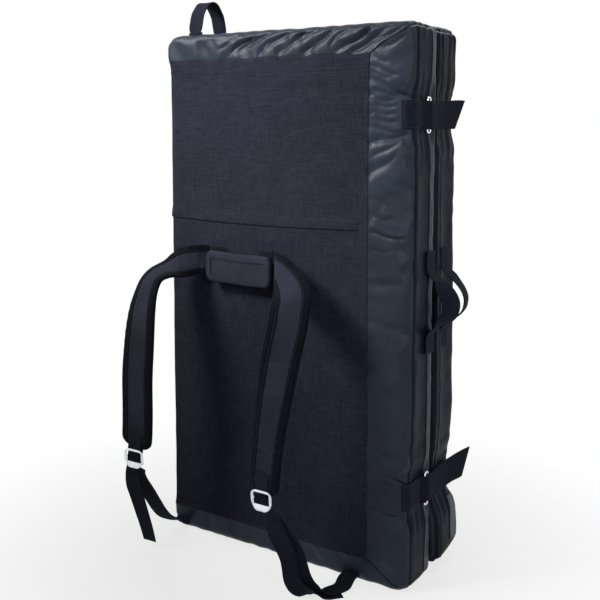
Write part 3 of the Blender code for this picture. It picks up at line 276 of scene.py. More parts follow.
def labelWeave():
    finish = Finish("labelWeave", Specular_IOR_Level=0.4)
    across, along = finish.split(finish.vector("UV"), 2)
    satin = (along + across * 0.5).wave(labelLook["satin"])
    cloudy = finish.noise(finish.vector(), *labelLook["cloudy"])
    return finish.paint(labelLook, satin * 0.15 + cloudy, cloudy, satin, labelLook["relief"])


# Each look's material and its slot.
looks = {"nylon": (coatedNylon(), "coated_nylon"),
         # A copy of the nylon at about half its colour: painted shade for the side walls, also used on the
         # mitre seams.
         "shadedNylon": (coatedNylon("paintedShadeNylon", 0.52, 0.02), "coated_nylon"),
         "cloth": (toughCloth(), "back_cloth"), "strap": (strapCloth(), "strap_cloth"),
         "webbing": (wovenWebbing(), "webbing"),
         "binding": (wovenWebbing("ribbedBinding", 0.0120, 0.0016, 0.42), "strap_cloth"),
         "metal": (satinMetal(), "satin_metal"),
         "thread": (sewingThread("darkThread", (0.012, 0.013, 0.018), (0.042, 0.046, 0.058)), "webbing"),
         "paleThread": (sewingThread("greyThread", (0.030, 0.036, 0.046), (0.070, 0.080, 0.098)), "webbing"),
         "coil": (coilTeeth(), "zip_coil"), "label": (labelWeave(), "label_cloth"),
         "foam": (foamCells("softFoam", (0.42, 0.40, 0.30), (0.72, 0.69, 0.58), 0.0030), "foam"),
         "firmFoam": (foamCells("firmFoam", (0.08, 0.085, 0.09), (0.17, 0.18, 0.19), 0.0015), "dense_foam")}
print("finishes mixed")


def ramp(value, start, span):
    return np.clip((value - start) / span, 0, 1)


def ease(share):
    return share * share * (3 - 2 * share)


def unit(vectors):
    return vectors / np.maximum(np.linalg.norm(vectors, axis=-1, keepdims=True), 1e-12)


def lengthsAlong(places):
    return np.concatenate(([0], np.cumsum(np.linalg.norm(np.diff(places, axis=0), axis=1))))


def onlyThis(piece):
    bpy.ops.object.select_all(action="DESELECT")
    piece.select_set(True)
    bpy.context.view_layer.objects.active = piece


def modify(piece, kind, **settings):
    onlyThis(piece)
    modifier = piece.modifiers.new(kind.lower(), kind)
    for key, value in settings.items():
        setattr(modifier, key, value)
    bpy.ops.object.modifier_apply(modifier=modifier.name)
    return piece


def bevel(piece, width, segments, limit=50):
    return modify(piece, "BEVEL", width=width, segments=segments, limit_method="ANGLE",
                  angle_limit=math.radians(limit))


def thicken(piece, thickness, offset=0.0):
    return modify(piece, "SOLIDIFY", thickness=thickness, offset=offset)


# Edit-mode operators with their settings, one after another, all of the piece selected at first.
def edit(piece, *steps):
    onlyThis(piece)
    bpy.ops.object.mode_set(mode="EDIT")
    bpy.ops.mesh.select_all(action="SELECT")
    for operator, settings in steps:
        getattr(bpy.ops.mesh, operator)(**settings)
    bpy.ops.object.mode_set(mode="OBJECT")


# One operator on those edges or faces of a piece that pass a test.
def editSome(piece, kind, parts, test, operator, **settings):
    edit(piece, ("select_mode", {"type": kind}), ("select_all", {"action": "DESELECT"}))
    for part in parts:
        part.select = test(part)
    bpy.ops.object.mode_set(mode="EDIT")
    getattr(bpy.ops.mesh, operator)(**settings)
    bpy.ops.object.mode_set(mode="OBJECT")


def readPoints(piece):
    flat = np.empty(len(piece.data.vertices) * 3)
    piece.data.vertices.foreach_get("co", flat)
    return flat.reshape(-1, 3)


def writePoints(piece, places):
    piece.data.vertices.foreach_set("co", np.ascontiguousarray(places, dtype=float).ravel())
    piece.data.update()


def readNormals(piece):
    return np.array([v.normal for v in piece.data.vertices])


def dress(piece, name, look, body, *nodes):
    material, slot = looks[look]
    piece.name = piece.data.name = name
    piece.data.materials.clear()
    piece.data.materials.append(material)
    onlyThis(piece)
    bpy.ops.object.shade_smooth_by_angle(angle=math.radians(42))
    if body:
        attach(piece, body)
    if nodes:
        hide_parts(*nodes)
    return piece


def addBox(middle, size):
    bpy.ops.mesh.primitive_cube_add(size=1, location=middle, scale=size)
    bpy.ops.object.transform_apply()
    return bpy.context.object


# A grid primitive laid over rows of places, with its UV map in metres; it faces
# the side that rows turning towards columns give.
def layGrid(rows):
    places = np.array(rows)
    count, columns = places.shape[:2]
    bpy.ops.mesh.primitive_grid_add(x_subdivisions=columns - 1, y_subdivisions=count - 1, size=1)
    piece = bpy.context.object
    writePoints(piece, places.reshape(-1, 3))
    along = lengthsAlong(places[:, columns // 2])
    across = lengthsAlong(places[count // 2])
    index = np.empty(len(piece.data.loops), int)
    piece.data.loops.foreach_get("vertex_index", index)
    flat = np.stack((across[index % columns], along[index // columns]), axis=1)
    piece.data.uv_layers.active.data.foreach_set("uv", flat.ravel())
    return piece


def closeTube(piece):
    edit(piece, ("remove_doubles", {"threshold": 1e-6}), ("select_all", {"action": "DESELECT"}),
         ("select_mode", {"type": "EDGE"}), ("select_non_manifold", {}), ("fill_holes", {"sides": 0}),
         ("select_all", {"action": "SELECT"}), ("normals_make_consistent", {"inside": False}))
    return piece


# A round tube along a line of places.
def layTube(places, radius, sides=10, closed=False):
    places = np.asarray(places, float)
    if closed:
        alongs = unit(np.roll(places, -1, axis=0) - np.roll(places, 1, axis=0))
    else:
        alongs = unit(np.gradient(places, axis=0))
    around = np.linspace(0, 2 * math.pi, sides + 1)
    guide = np.array((0.31, 0.17, 0.93)) if abs(alongs[0][2]) < 0.8 else np.array((0.93, 0.31, 0.17))
    rows = []
    for middle, along in zip(places, alongs):
        one = unit(np.cross(along, guide))
        guide = np.cross(one, along)
        rows.append([middle + radius * (math.cos(t) * one + math.sin(t) * guide) for t in around])
    return closeTube(layGrid(rows + rows[:1] if closed else rows))


# Rows of numbers made finer along a smooth curve through them.
def finer(rows, steps):
    slopes = np.gradient(rows, axis=0)
    result = []
    for i in range(len(rows) - 1):
        for t in np.arange(steps) / steps:
            result.append((2 * t**3 - 3 * t**2 + 1) * rows[i] + (t**3 - 2 * t**2 + t) * slopes[i]
                          + (3 * t**2 - 2 * t**3) * rows[i + 1] + (t**3 - t**2) * slopes[i + 1])
    result.append(rows[-1])
    return np.array(result)


# Rings of corners from one end face on, or nothing where the mesh isn't a plain strip from there.
def walkRings(ring, size, total):
    done, rings = set(), []
    while ring:
        if len(ring) != size:
            return None
        done |= ring
        points = np.array([v.co for v in sorted(ring, key=lambda v: v.index)])
        spread = points - points.mean(axis=0)
        axes = np.linalg.svd(spread)[2]
        wide, thin = spread @ axes[0], spread @ axes[1]
        points = points[np.argsort(np.arctan2(thin / np.ptp(thin), wide / np.ptp(wide)))]
        if rings:
            last = rings[-1]
            turns = [np.roll(p, k, axis=0) for p in (points, points[::-1]) for k in range(size)]
            points = min(turns, key=lambda p: np.linalg.norm(p - last, axis=1).sum())
        rings.append(points)
        ring = {e.other_vert(v) for v in ring for e in v.link_edges} - done
    return np.array(rings) if len(rings) * size == total and len(rings) > 2 else None


# Rings of corner points along a CAD strap, from its flat end that is nearest to a place.
def readRings(node, near, size=4):
    bm = bmesh.new()
    bm.from_mesh(frame["nodes"][node].data)
    bmesh.ops.remove_doubles(bm, verts=bm.verts, dist=1e-6)
    groups, seen = [], set()
    for face in bm.faces:
        if face in seen:
            continue
        group, waiting = {face}, [face]
        while waiting:
            for edge in waiting.pop().edges:
                for other in edge.link_faces:
                    if other not in group and edge.calc_face_angle(3) < 0.01:
                        group.add(other)
                        waiting.append(other)
        seen |= group
        corners = {v for f in group for v in f.verts}
        if len(corners) == size:
            middle = sum((v.co for v in corners), Vector()) / size
            groups.append(((middle - Vector(near)).length, len(groups), corners))
    for away, number, corners in sorted(groups):
        rings = walkRings(corners, size, len(bm.verts))
        if rings is not None:
            bm.free()
            return rings
    raise ValueError(f"{node} has no plain rings")


# Middle, side and outward direction and half width of each ring of a flat strap.
def strapFrame(rings, outward):
    middles = rings.mean(axis=1)
    first = rings[0]
    flip = np.linalg.norm(first[0] - first[1]) > np.linalg.norm(first[1] - first[2])
    turned = np.roll(rings, -1, axis=1) if flip else rings
    spans = turned[:, :2].mean(axis=1) - turned[:, 2:].mean(axis=1)
    sides = unit(spans)
    outs = unit(np.cross(sides, unit(np.gradient(middles, axis=0))))
    if outs[0] @ np.array(outward, float) < 0:
        outs, sides = -outs, -sides
    return middles, sides, outs, np.linalg.norm(spans, axis=1) / 2


# One row for each place along a strap: middle, direction across, direction outward and sizes.
def pack(middles, sides, outs, *sizes):
    return np.hstack([middles, sides, outs] + [np.reshape(size, (-1, 1)) for size in sizes])


# Closest place on a piece, raised off its skin.
class Skin:
    def __init__(self, piece):
        self.tree = BVHTree.FromObject(piece, bpy.context.evaluated_depsgraph_get())

    def at(self, point, lift=0.0):
        place, normal, index, reach = self.tree.find_nearest(Vector(point))
        return np.array(place + normal * lift), np.array(normal)

    # A line drawn near the piece, pulled onto its skin, with the outward directions there.
    def line(self, points, lift=0.0003):
        found = [self.at(p, lift) for p in points]
        return np.array([f[0] for f in found]), np.array([f[1] for f in found])


stitchSize = {"length": 0.0032, "gap": 0.0011, "width": 0.0008, "height": 0.0005}


# Small stitches along lines of places, all in one piece.
def sew(name, lines, body, look="thread", size=stitchSize):
    bpy.ops.mesh.primitive_uv_sphere_add(segments=6, ring_count=4, radius=0.5)
    bead = bpy.context.object
    shape = readPoints(bead)
    faces = [list(p.vertices) for p in bead.data.polygons]
    bpy.data.objects.remove(bead)
    pitch = size["length"] + size["gap"]
    points, polygons = [], []
    for places, outs in lines:
        places = np.asarray(places, float)
        steps = lengthsAlong(places)
        outs = np.broadcast_to(np.asarray(outs, float), places.shape)
        for k in range(int(steps[-1] / pitch)):
            reach = (k + 0.5) * pitch
            at, ahead, out = [np.array([np.interp(r, steps, rows[:, i]) for i in range(3)])
                              for r, rows in ((reach, places), (reach + pitch / 4, places), (reach, outs))]
            out = unit(out)
            along = unit(ahead - at)
            side = unit(np.cross(out, along))
            base = len(points)
            for a, b, c in shape:
                points.append(at + along * (a * size["length"]) + side * (b * size["width"])
                              + out * (c * size["height"]))
            polygons.extend([base + i for i in f] for f in faces)
    mesh = bpy.data.meshes.new(name)
    mesh.from_pydata(points, [], polygons)
    return dress(newObject(name, mesh), name, look, body)


def sewOn(name, piece, lines, body, lift=0.0003):
    skin = Skin(piece)
    return sew(name, [skin.line(line, lift) for line in lines], body)


def straight(a, b, spacing=0.006):
    count = max(2, round((Vector(b) - Vector(a)).length / spacing))
    return [Vector(a).lerp(Vector(b), i / count) for i in range(count + 1)]


def boxLines(a, b, c, d, cross=True):
    lines = [straight(a, b), straight(b, c), straight(c, d), straight(d, a)]
    return lines + ([straight(a, c), straight(b, d)] if cross else [])


# A box of stitches beside the opening wall, between two heights and two depths.
def wallBox(x, near, far, foot, top, cross=True):
    return boxLines((x, near, foot), (x, far, foot), (x, far, top), (x, near, top), cross)


strapSet = {"thickness": 0.0018, "columns": 9, "selvedge": 0.0004}


# Webbing swept along packed rows; shape gives its bend across, from the place across and along it.
def sweep(name, packed, body, *nodes, shape=None):
    shares = np.linspace(-1, 1, strapSet["columns"])
    rows = []
    for k, row in enumerate(packed):
        middle, side, out, width = row[:3], unit(row[3:6]), unit(row[6:9]), row[9]
        along = k / (len(packed) - 1)
        bends = [shape(a, along) if shape else 0.0 for a in shares]
        rows.append([middle + side * (a * width) + out * bend for a, bend in zip(shares, bends)])
    piece = bevel(thicken(layGrid(rows), strapSet["thickness"]), strapSet["selvedge"], 2)
    return dress(piece, name, "webbing", body, *nodes)


# A strap along the middle line of the CAD node that it stands for, from the end at near.
def strapFrom(node, near, outward, body, steps=3):
    packed = finer(pack(*strapFrame(readRings(node, near), outward)), steps)
    sweep(node + "_weave", packed, body, node)
    return packed


# A box of stitches with a cross on a strap, between two lengths along it, and lines across it.
def stitchBox(name, packed, start, end, body, bars=(), look="thread"):
    reach = lengthsAlong(packed[:, :3])
    half = packed[0, 9] - 0.0035
    lines = boxLines((start, -half, 0), (end, -half, 0), (end, half, 0), (start, half, 0))
    lines += [straight((bar, -half, 0), (bar, half, 0)) for bar in bars]
    stitched = []
    for line in lines:
        rows = [[np.interp(p.x, reach, packed[:, i]) for i in range(9)] + [p.y] for p in line]
        places = [np.array(r[:3]) + unit(np.array(r[3:6])) * r[9]
                  + unit(np.array(r[6:9])) * (strapSet["thickness"] / 2 + 0.0002) for r in rows]
        stitched.append((places, [r[6:9] for r in rows]))
    sew(name, stitched, body, look)


def alongPath(points, side, width, steps=3):
    points = np.array(points, float)
    sides = np.broadcast_to(np.array(side, float), points.shape)
    outs = unit(np.cross(sides, np.gradient(points, axis=0)))
    return finer(pack(points, sides, outs, np.full(len(points), width)), steps)


# The pad's two halves. Each plain box is 102 mm deep; the CAD box gives the rest.
pad = {"halfWidth": 0.265, "depth": 0.102, "height": 1.0, "edge": 0.026, "landingEdge": 0.011,
       "endEdge": 0.013, "voxel": 0.0086, "wallSeam": 0.026}
flatFrom = pad["halfWidth"] - pad["edge"]
closureHeights = {"upper": 0.846, "lower": 0.170}
panelEdge = {"right": 0.187, "lean": 0.004, "low": 0.046, "high": 0.954, "seam": 0.660}
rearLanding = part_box("rear_cover")[0].y
# Which way each half's far side looks, and where its landing and far sides lie in y.
halves = {"front": {"out": -1, "landing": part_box("front_cover")[1].y, "face": -pad["depth"] / 2},
          "rear": {"out": 1, "landing": rearLanding, "face": rearLanding + pad["depth"]}}
front, rear = halves["front"], halves["rear"]


# 1 where a closure pulls the pad together, less above and below it.
def closureShare(z):
    beyond = [ramp(np.abs(z - height), 0.028, 0.04) for height in closureHeights.values()]
    return 0.5 + 0.5 * np.cos(math.pi * np.minimum(*beyond))


stuffSet = {"crown": 0.008, "crownHalf": 0.245, "rim": 0.004, "pull": 0.005, "pullFrom": 0.15,
            "pullSpan": 0.086, "pullRise": 1.4, "drawIn": 0.003, "wallFrom": 0.255, "wallStart": 0.011,
            "wallSpan": 0.065, "pinInset": 0.008}


# The plain box gets its stuffed crown, drawn-in walls and closure pinch; what stays put comes back.
def stuffCover(cover, half):
    size, inset = stuffSet, stuffSet["pinInset"]
    places = readPoints(cover)
    normals = readNormals(cover)
    x, y, z = places.T.copy()
    out = np.abs(y - half["landing"])
    upright = 1 - (2 * z - 1) ** 2
    crown = size["crown"] * np.maximum(0, 1 - (x / flatFrom) ** 2) * upright
    onFace = (out > pad["depth"] - size["rim"]) & (np.abs(x) < size["crownHalf"])
    places[:, 1] += half["out"] * crown * onFace
    pinch = closureShare(z)
    nearWall = np.maximum(0, 1 - (pad["halfWidth"] - x) / size["pullSpan"])
    pull = size["pull"] * pinch * np.minimum(1, size["pullRise"] * nearWall) ** 2
    places -= normals * (pull * ((x > size["pullFrom"]) & (out > 0.01)))[:, None]
    onWall = (np.abs(x) > size["wallFrom"]) & (out > 0.012) & (out < 0.075)
    arch = np.sin(math.pi * (out - size["wallStart"]) / size["wallSpan"])
    places[:, 0] -= onWall * np.sign(x) * size["drawIn"] * arch * upright
    writePoints(cover, places)
    onPanel = (out > 0.09) & (x < panelEdge["right"] - inset)
    onPanel &= (z > panelEdge["low"] + inset) & (z < panelEdge["high"] - inset)
    return onPanel | (out < 0.006) | ((pinch > 0.99) & (x > 0.2)) | (z < 0.001)


def makeCover(name):
    half = halves[name]
    landing = half["landing"]
    cover = addBox((0, landing + half["out"] * pad["depth"] / 2, pad["height"] / 2),
                   (2 * pad["halfWidth"], pad["depth"], pad["height"]))

    def bevelEdges(test, width, segments):
        places = cover.data.vertices
        editSome(cover, "EDGE", cover.data.edges, lambda edge: test(*[places[i].co for i in edge.vertices]),
                 "bevel", offset=width, segments=segments, affect="EDGES")

    bevelEdges(lambda a, b: abs(a.z - b.z) > 0.5 and abs(a.y - landing) > 0.05, pad["edge"], 8)
    bevelEdges(lambda a, b: abs(a.z - b.z) > 0.5 and abs(a.y - landing) < 0.001, pad["landingEdge"], 4)
    bevelEdges(lambda a, b: abs(a.z - b.z) < 1e-5 and (a.z < 1e-5 or a.z > 1 - 1e-5), pad["endEdge"], 4)
    cover.data.remesh_voxel_size = pad["voxel"]
    onlyThis(cover)
    bpy.ops.object.voxel_remesh()
    held = stuffCover(cover, half)
    cover.vertex_groups.new(name="held").add(np.flatnonzero(held).tolist(), 1.0, "REPLACE")
    swellCover(cover)
    modify(cover, "SUBSURF", levels=1, render_levels=1)
    if name == "front":
        editSome(cover, "FACE", cover.data.polygons, lambda face: inCreases(face.center), "subdivide",
                 number_cuts=1, smoothness=1.0)
    return cover


# The bands of the far side where sharp creases come and smaller faces are needed.
def inCreases(place):
    return place.y < 0 and (place.x > 0.180 or place.z > 0.950) and abs(place.x) < 0.262


clothSet = {"quality": 5, "mass": 0.2, "tension_stiffness": 25, "compression_stiffness": 25,
            "shear_stiffness": 10, "bending_stiffness": 3.0, "use_pressure": True,
            "uniform_pressure_force": 4.0, "shrink_min": -0.035, "vertex_group_mass": "held"}
swellSet = {"frames": 20, "cap": 0.0030, "wallCap": 0.0008, "wall": 0.258, "foot": 0.04, "top": 0.985}


# The cloth swells under pressure with a little slack; walls, foot and top may move less.
def swellCover(cover):
    before = readPoints(cover)
    onlyThis(cover)
    modifier = cover.modifiers.new("cloth", "CLOTH")
    for key, value in clothSet.items():
        setattr(modifier.settings, key, value)
    modifier.settings.effector_weights.gravity = 0
    modifier.collision_settings.use_collision = False
    modifier.point_cache.frame_end = swellSet["frames"]
    for step in range(1, swellSet["frames"] + 1):
        bpy.context.scene.frame_set(step)
    bpy.ops.object.modifier_apply(modifier=modifier.name)
    bpy.context.scene.frame_set(1)
    moved = readPoints(cover) - before
    reach = np.linalg.norm(moved, axis=1, keepdims=True)
    x, y, z = before.T
    firm = (np.abs(x) > swellSet["wall"]) | (z < swellSet["foot"]) | (z > swellSet["top"])
    cap = np.where(firm, swellSet["wallCap"], swellSet["cap"])[:, None]
    writePoints(cover, before + moved * np.minimum(1, cap / np.maximum(reach, 1e-9)))


creaseSet = {"roll": 0.0010, "swell": 0.50, "fade": 0.15, "deeper": 1.25, "foot": 1.05, "tip": 0.60,
             "wander": 0.0025, "ridgeAt": 2.2, "ridgeWidth": 1.5, "rearShare": 0.7}
# Creases on the far side: both ends as x and z in mm, then depth and width in mm.
creaseLines = (
    (-140, 969, -86, 998, 1.2, 4.0), (-112, 963, -66, 986, 3.0, 5.0), (-93, 963, -10, 1004, 3.0, 5.0),
    (-47, 960, -12, 982, 2.2, 4.5), (-29, 963, 32, 1004, 2.6, 5.0), (-1, 960, 74, 1004, 3.2, 5.0),
    (40, 975, 92, 1004, 2.0, 4.5), (55, 957, 124, 1004, 4.2, 5.5), (108, 968, 152, 1004, 2.2, 4.5),
    (124, 957, 184, 990, 5.0, 6.0), (143, 953, 250, 1006, 4.4, 6.0), (194, 968, 250, 994, 3.2, 5.0),
    (203, 958, 250, 973, 2.2, 5.0), (188, 942, 222, 937, 1.4, 5.0), (188, 928, 238, 914, 1.8, 5.0),
    (188, 918, 224, 909, 1.4, 4.5), (188, 906, 258, 876, 3.2, 5.5), (188, 886, 242, 879, 2.0, 5.0),
    (188, 871, 230, 872, 1.6, 4.5), (188, 861, 232, 862, 1.6, 4.5), (188, 848, 230, 849, 1.3, 4.5),
    (188, 836, 236, 836, 1.6, 4.5), (188, 824, 240, 817, 2.0, 4.5), (188, 797, 252, 815, 3.2, 5.5),
    (188, 770, 246, 806, 2.0, 5.0), (190, 744, 238, 780, 1.4, 6.0), (188, 700, 232, 693, 1.3, 6.0),
    (188, 671, 224, 667, 1.2, 6.0), (188, 642, 246, 635, 2.6, 4.0), (188, 612, 226, 612, 1.3, 6.0),
    (188, 242, 252, 199, 2.6, 5.0), (210, 216, 252, 196, 2.2, 4.5), (188, 205, 240, 192, 2.2, 5.0),
    (188, 160, 240, 146, 2.2, 5.0), (188, 141, 246, 139, 2.6, 5.0), (120, 50, 172, 8, 1.8, 6.0),
    (60, 48, 96, 12, 1.2, 6.0), (200, 60, 240, 30, 1.2, 7.0), (30, 893, 192, 884, 1.6, 10.0),
    (90, 226, 190, 190, 1.2, 12.0), (-230, 300, -120, 262, 1.0, 14.0), (-20, 420, 140, 396, 0.9, 16.0))


def creaseDepth(x, z, line):
    x0, z0, x1, z1, depth, width = [v / 1000 for v in line]
    length = math.hypot(x1 - x0, z1 - z0)
    ahead = ((x - x0) * (x1 - x0) + (z - z0) * (z1 - z0)) / length**2
    beside = ((z - z0) * (x1 - x0) - (x - x0) * (z1 - z0)) / length
    beside = beside + creaseSet["wander"] * np.sin(ahead * 5.0 + x0 * 90)
    width = width * (creaseSet["foot"] - (creaseSet["foot"] - creaseSet["tip"]) * np.clip(ahead, 0, 1))
    fade = ramp(ahead, -creaseSet["fade"], 2 * creaseSet["fade"])
    fade = fade * ramp(-ahead, -1 - creaseSet["fade"], 2 * creaseSet["fade"])
    valley = np.exp(-np.abs(beside / width) ** 1.3)
    ridge = np.exp(-(((beside - creaseSet["ridgeAt"] * width) / (creaseSet["ridgeWidth"] * width)) ** 2))
    return creaseSet["deeper"] * depth * fade * (creaseSet["swell"] * ridge - valley)


# Heights and spacings of the small folds in the walls, the two ends and the rear half's top.
foldSet = {"closure": 0.0016, "top": 0.0012, "small": 0.0008, "wander": 0.0006, "end": 0.0004,
           "rearTop": 0.0009, "drapeSpacing": 0.024, "endSpacing": 0.041, "rearSpacing": 0.023}


def rippled(places, spacing, phase):
    return np.sin(2 * math.pi * places / spacing + phase)


# How far the cloth's folds lift each place along its normal; out is its depth from the landing face.
def folds(places, normals, out, name):
    x, y, z = places.T
    spots = [Vector(p) for p in places]
    wander = np.array([noise.noise(p * 7) for p in spots])
    small = np.array([noise.noise(p * 31 + Vector((5, 0, 0))) for p in spots])
    amount = creaseSet["roll"] * wander
    onFace = ramp(out, 0.045, 0.03) * (np.abs(x) < 0.2648)
    onFace = onFace * np.clip(1.15 - 1.5 * np.abs(normals[:, 2]), 0, 1)
    for line in creaseLines:
        amount += creaseDepth(x, z, line) * onFace * (1.0 if name == "front" else creaseSet["rearShare"])
    wall = (np.abs(x) > 0.25) * ramp(out, 0.008, 0.02)
    near = sum(np.exp(-((np.abs(z - height) - 0.047) / 0.030) ** 2) for height in closureHeights.values())
    top = ramp(z, 0.90, 0.08) if name == "rear" else ramp(z, 0.96, 0.04)
    drape = rippled(y, foldSet["drapeSpacing"], 4 * wander + 2.5 * z) * (0.5 + wander)
    amount += wall * (x > 0) * drape * (foldSet["closure"] * near + foldSet["top"] * top)
    amount += wall * (foldSet["small"] * small + foldSet["wander"] * wander)
    ends = ((z > 0.985) | (z < 0.015)) * ramp(out, 0, 0.02)
    amount += ends * foldSet["end"] * rippled(x, foldSet["endSpacing"], 5 * wander)
    if name == "rear":
        slack = ramp(z, 0.955, 0.03) * ramp(x, 0.10, 0.1)
        amount += slack * foldSet["rearTop"] * rippled(x + 1.3 * y, foldSet["rearSpacing"], 3 * wander)
    return amount


# Side, end and radius of each corner's rounding, seen from the far side.
corners = {"front": ((-1, 0, 0.027), (-1, 1, 0.014), (1, 0, 0.012), (1, 1, 0.014)),
           "rear": ((-1, 0, 0.024), (-1, 1, 0.024), (1, 0, 0.024), (1, 1, 0.020))}
leanSet = {"bulge": 0.003, "square": 0.5, "rise": 0.003, "lip": 0.006, "shift": 0.007, "spread": 0.009,
           "lifted": 0.008, "tuck": 0.030, "rearWall": ((0.0, 0.10, 0.135, 0.21, 0.30, 0.60, 1.0),
                                                        (0.012, 0.010, 0.001, 0.001, 0.003, 0.0, -0.004))}


def roundCorner(places, side, end, radius):
    inX = radius - (pad["halfWidth"] - side * places[:, 0])
    inZ = radius - (pad["height"] - places[:, 2] if end else places[:, 2])
    reach = np.maximum(np.hypot(inX, inZ), 1e-6)
    less = ((inX > 0) & (inZ > 0)) * (1 - np.maximum(inX, inZ) / reach)
    places[:, 0] -= side * inX * less
    places[:, 2] += (-1 if end else 1) * inZ * less


# The stuffing leans out along the fold and up at the top, and the foot splays and lifts.
def leanOut(places, out, name):
    for corner in corners[name]:
        roundCorner(places, *corner)
    if name == "front":
        edge, inward = pad["edge"], pad["depth"] - pad["edge"]
        past = np.clip(out - inward, 0, edge)
        recess = edge - np.sqrt(edge**2 - past**2)
        outer = ramp(-places[:, 0], 0.19, 0.049)
        places[:, 0] -= outer * (leanSet["square"] * recess + leanSet["bulge"] * past / edge)
    places[:, 2] += leanSet["rise"] * ramp(places[:, 2], 0.93, 0.06)
    foot = ease(ramp(-places[:, 2], -0.15, 0.11))
    if name == "front":
        places[:, 1] += leanSet["lip"] * foot * ramp(places[:, 1], 0.02, 0.03) * ramp(places[:, 0], 0, 0.2)
        return
    slide = leanSet["shift"] + leanSet["spread"] * out / 0.11
    places[:, 1] += slide * foot * ramp(places[:, 0], -0.1, 0.2)
    places[:, 0] += ramp(places[:, 0], 0.15, 0.10) * np.interp(places[:, 2], *leanSet["rearWall"])
    tuck = ramp(out, 0, 0.105) ** 2.2 * ramp(places[:, 0], -0.05, 0.25)
    places[:, 2] += (leanSet["lifted"] + leanSet["tuck"] * tuck) * ramp(-places[:, 2], -0.07, 0.07)


# Where the side walls take the darker copy of the nylon: painted shade on the walls.
def inShadedWall(face, name):
    if name == "rear":
        wall = abs(face.center.x) > 0.246 and abs(face.normal.y) < 0.93
    else:
        wall = pad["wallSeam"] < abs(face.center.y - front["landing"]) < 0.086 and abs(face.normal.x) > 0.62
    return wall and abs(face.normal.z) < 0.7


def finishCover(cover, name):
    landing = halves[name]["landing"]
    places = readPoints(cover)
    normals = readNormals(cover)
    out = np.abs(places[:, 1] - landing)
    places += normals * (folds(places, normals, out, name) * (out > 0.004))[:, None]
    flatten = np.minimum if name == "front" else np.maximum
    places[:, 1] = flatten(places[:, 1], landing)
    leanOut(places, out, name)
    places[:, 2] = np.maximum(places[:, 2], 0.0)
    writePoints(cover, places)
    dress(cover, name + "_cover_cloth", "nylon", name + "_half", name + "_cover")
    # The side walls take the darker nylon copy as painted shade.
    cover.data.materials.append(looks["shadedNylon"][0])
    for face in cover.data.polygons:
        face.material_index = int(inShadedWall(face, name))
    return cover


foamInsets = {"foam": 0.020, "firmFoam": 0.016}


def makeFoam(name):
    for node, look in ((name + "_foam_block", "foam"), (name + "_landing_foam", "firmFoam")):
        low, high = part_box(node)
        if look == "foam" and name == "front":
            low.y = front["face"] + 0.006
        elif look == "foam":
            high.y = rear["face"] - 0.006
        if name == "rear":
            low += Vector((0, 0.006, 0.034))
        size, inset = high - low, 2 * foamInsets[look]
        foam = addBox((low + high) / 2, (size.x - inset, size.y - 0.010, size.z - inset))
        modify(foam, "BEVEL", width=min(0.018, size.y / 3 - 0.002), segments=4)
        dress(foam, node + "_cells", look, name + "_half", node)


# The panel's opening edge leans a little towards the fold higher up.
def leanAt(z):
    return panelEdge["lean"] * ramp(z, 0.3, 0.6)


# Rows of places over a piece's skin, one row for each height; lift is a number or gives lift and drop.
def skinRows(skin, line, heights, lift, leaning=False):
    rows = []
    for z in heights:
        row = []
        for x, y, out in line:
            raised, drop = lift(x, z) if callable(lift) else (lift, 0.0)
            lean = leanAt(z) * x / panelEdge["right"] if leaning and x > 0 else 0.0
            row.append(skin.at(Vector((x - lean, y, z - drop)) + Vector(out) * 0.01, raised)[0])
        rows.append(row)
    return rows


def layCloth(rows, thickness):
    return bevel(thicken(layGrid(rows), thickness, 1.0), thickness / 3, 2)


# Outline of a half's far side from the panel's opening edge round to its fold wall.
def faceLine(name, start, wrap, spacing):
    sign, face, edge = halves[name]["out"], halves[name]["face"], pad["edge"]
    count = round((start + flatFrom) / spacing)
    line = [(x, face, (0, sign, 0)) for x in np.linspace(start, -flatFrom, count)]
    for t in np.radians(np.linspace(0, 90, 8)[1:]):
        line.append((-flatFrom - edge * math.sin(t), face - sign * edge * (1 - math.cos(t)),
                     (-math.sin(t), sign * math.cos(t), 0)))
    for s in np.linspace(0, wrap, 4)[1:]:
        line.append((-pad["halfWidth"], face - sign * (edge + s), (-1, 0, 0)))
    return line if name == "front" else line[::-1]


panelSet = {"thickness": 0.0008, "spacing": 0.0060, "wrap": 0.012, "rest": 0.0003, "ripple": 0.0005,
            "foldLift": 0.0008, "foldWidth": 0.028, "hemLift": 0.0022, "hemWidth": 0.008, "hemDrop": 0.004,
            "hemEnd": 0.016, "overlap": 0.014, "dropFrom": -0.27, "dropSpan": 0.45, "dropHeight": 0.05}


def makePanel(node, low, high, hem=False):
    name = node.split("_")[0]
    right = panelEdge["right"]

    def liftAt(x, z):
        lift = panelSet["foldLift"] * ramp(z, panelEdge["high"] - panelSet["foldWidth"], 0.003)
        lift += panelSet["rest"] + panelSet["ripple"] * (1 + noise.noise(Vector((x * 14, z * 30, 3))))
        if not hem:
            return lift, 0.0
        near = 1 - ramp(z, low + panelSet["hemWidth"], 0.014)
        lift += panelSet["hemLift"] * near * ramp(-x, panelSet["hemEnd"] - right, 0.012)
        share = ramp(x, panelSet["dropFrom"], panelSet["dropSpan"])
        drop = panelSet["hemDrop"] * math.sin(math.pi * share) * (1 - ramp(z, low, panelSet["dropHeight"]))
        return lift, drop

    line = faceLine(name, right, panelSet["wrap"], panelSet["spacing"])
    heights = list(np.linspace(low, high, round((high - low) / panelSet["spacing"])))
    if hem:
        heights = sorted(set(heights) | set(np.linspace(low, low + 0.018, 7)))
    piece = layCloth(skinRows(skins[name], line, heights, liftAt, True), panelSet["thickness"])
    dress(piece, node + "_cloth", "cloth", name + "_half", node)
    return piece


seamSet = {"cord": 0.0011, "threadGap": 0.0016, "topLine": 0.026}


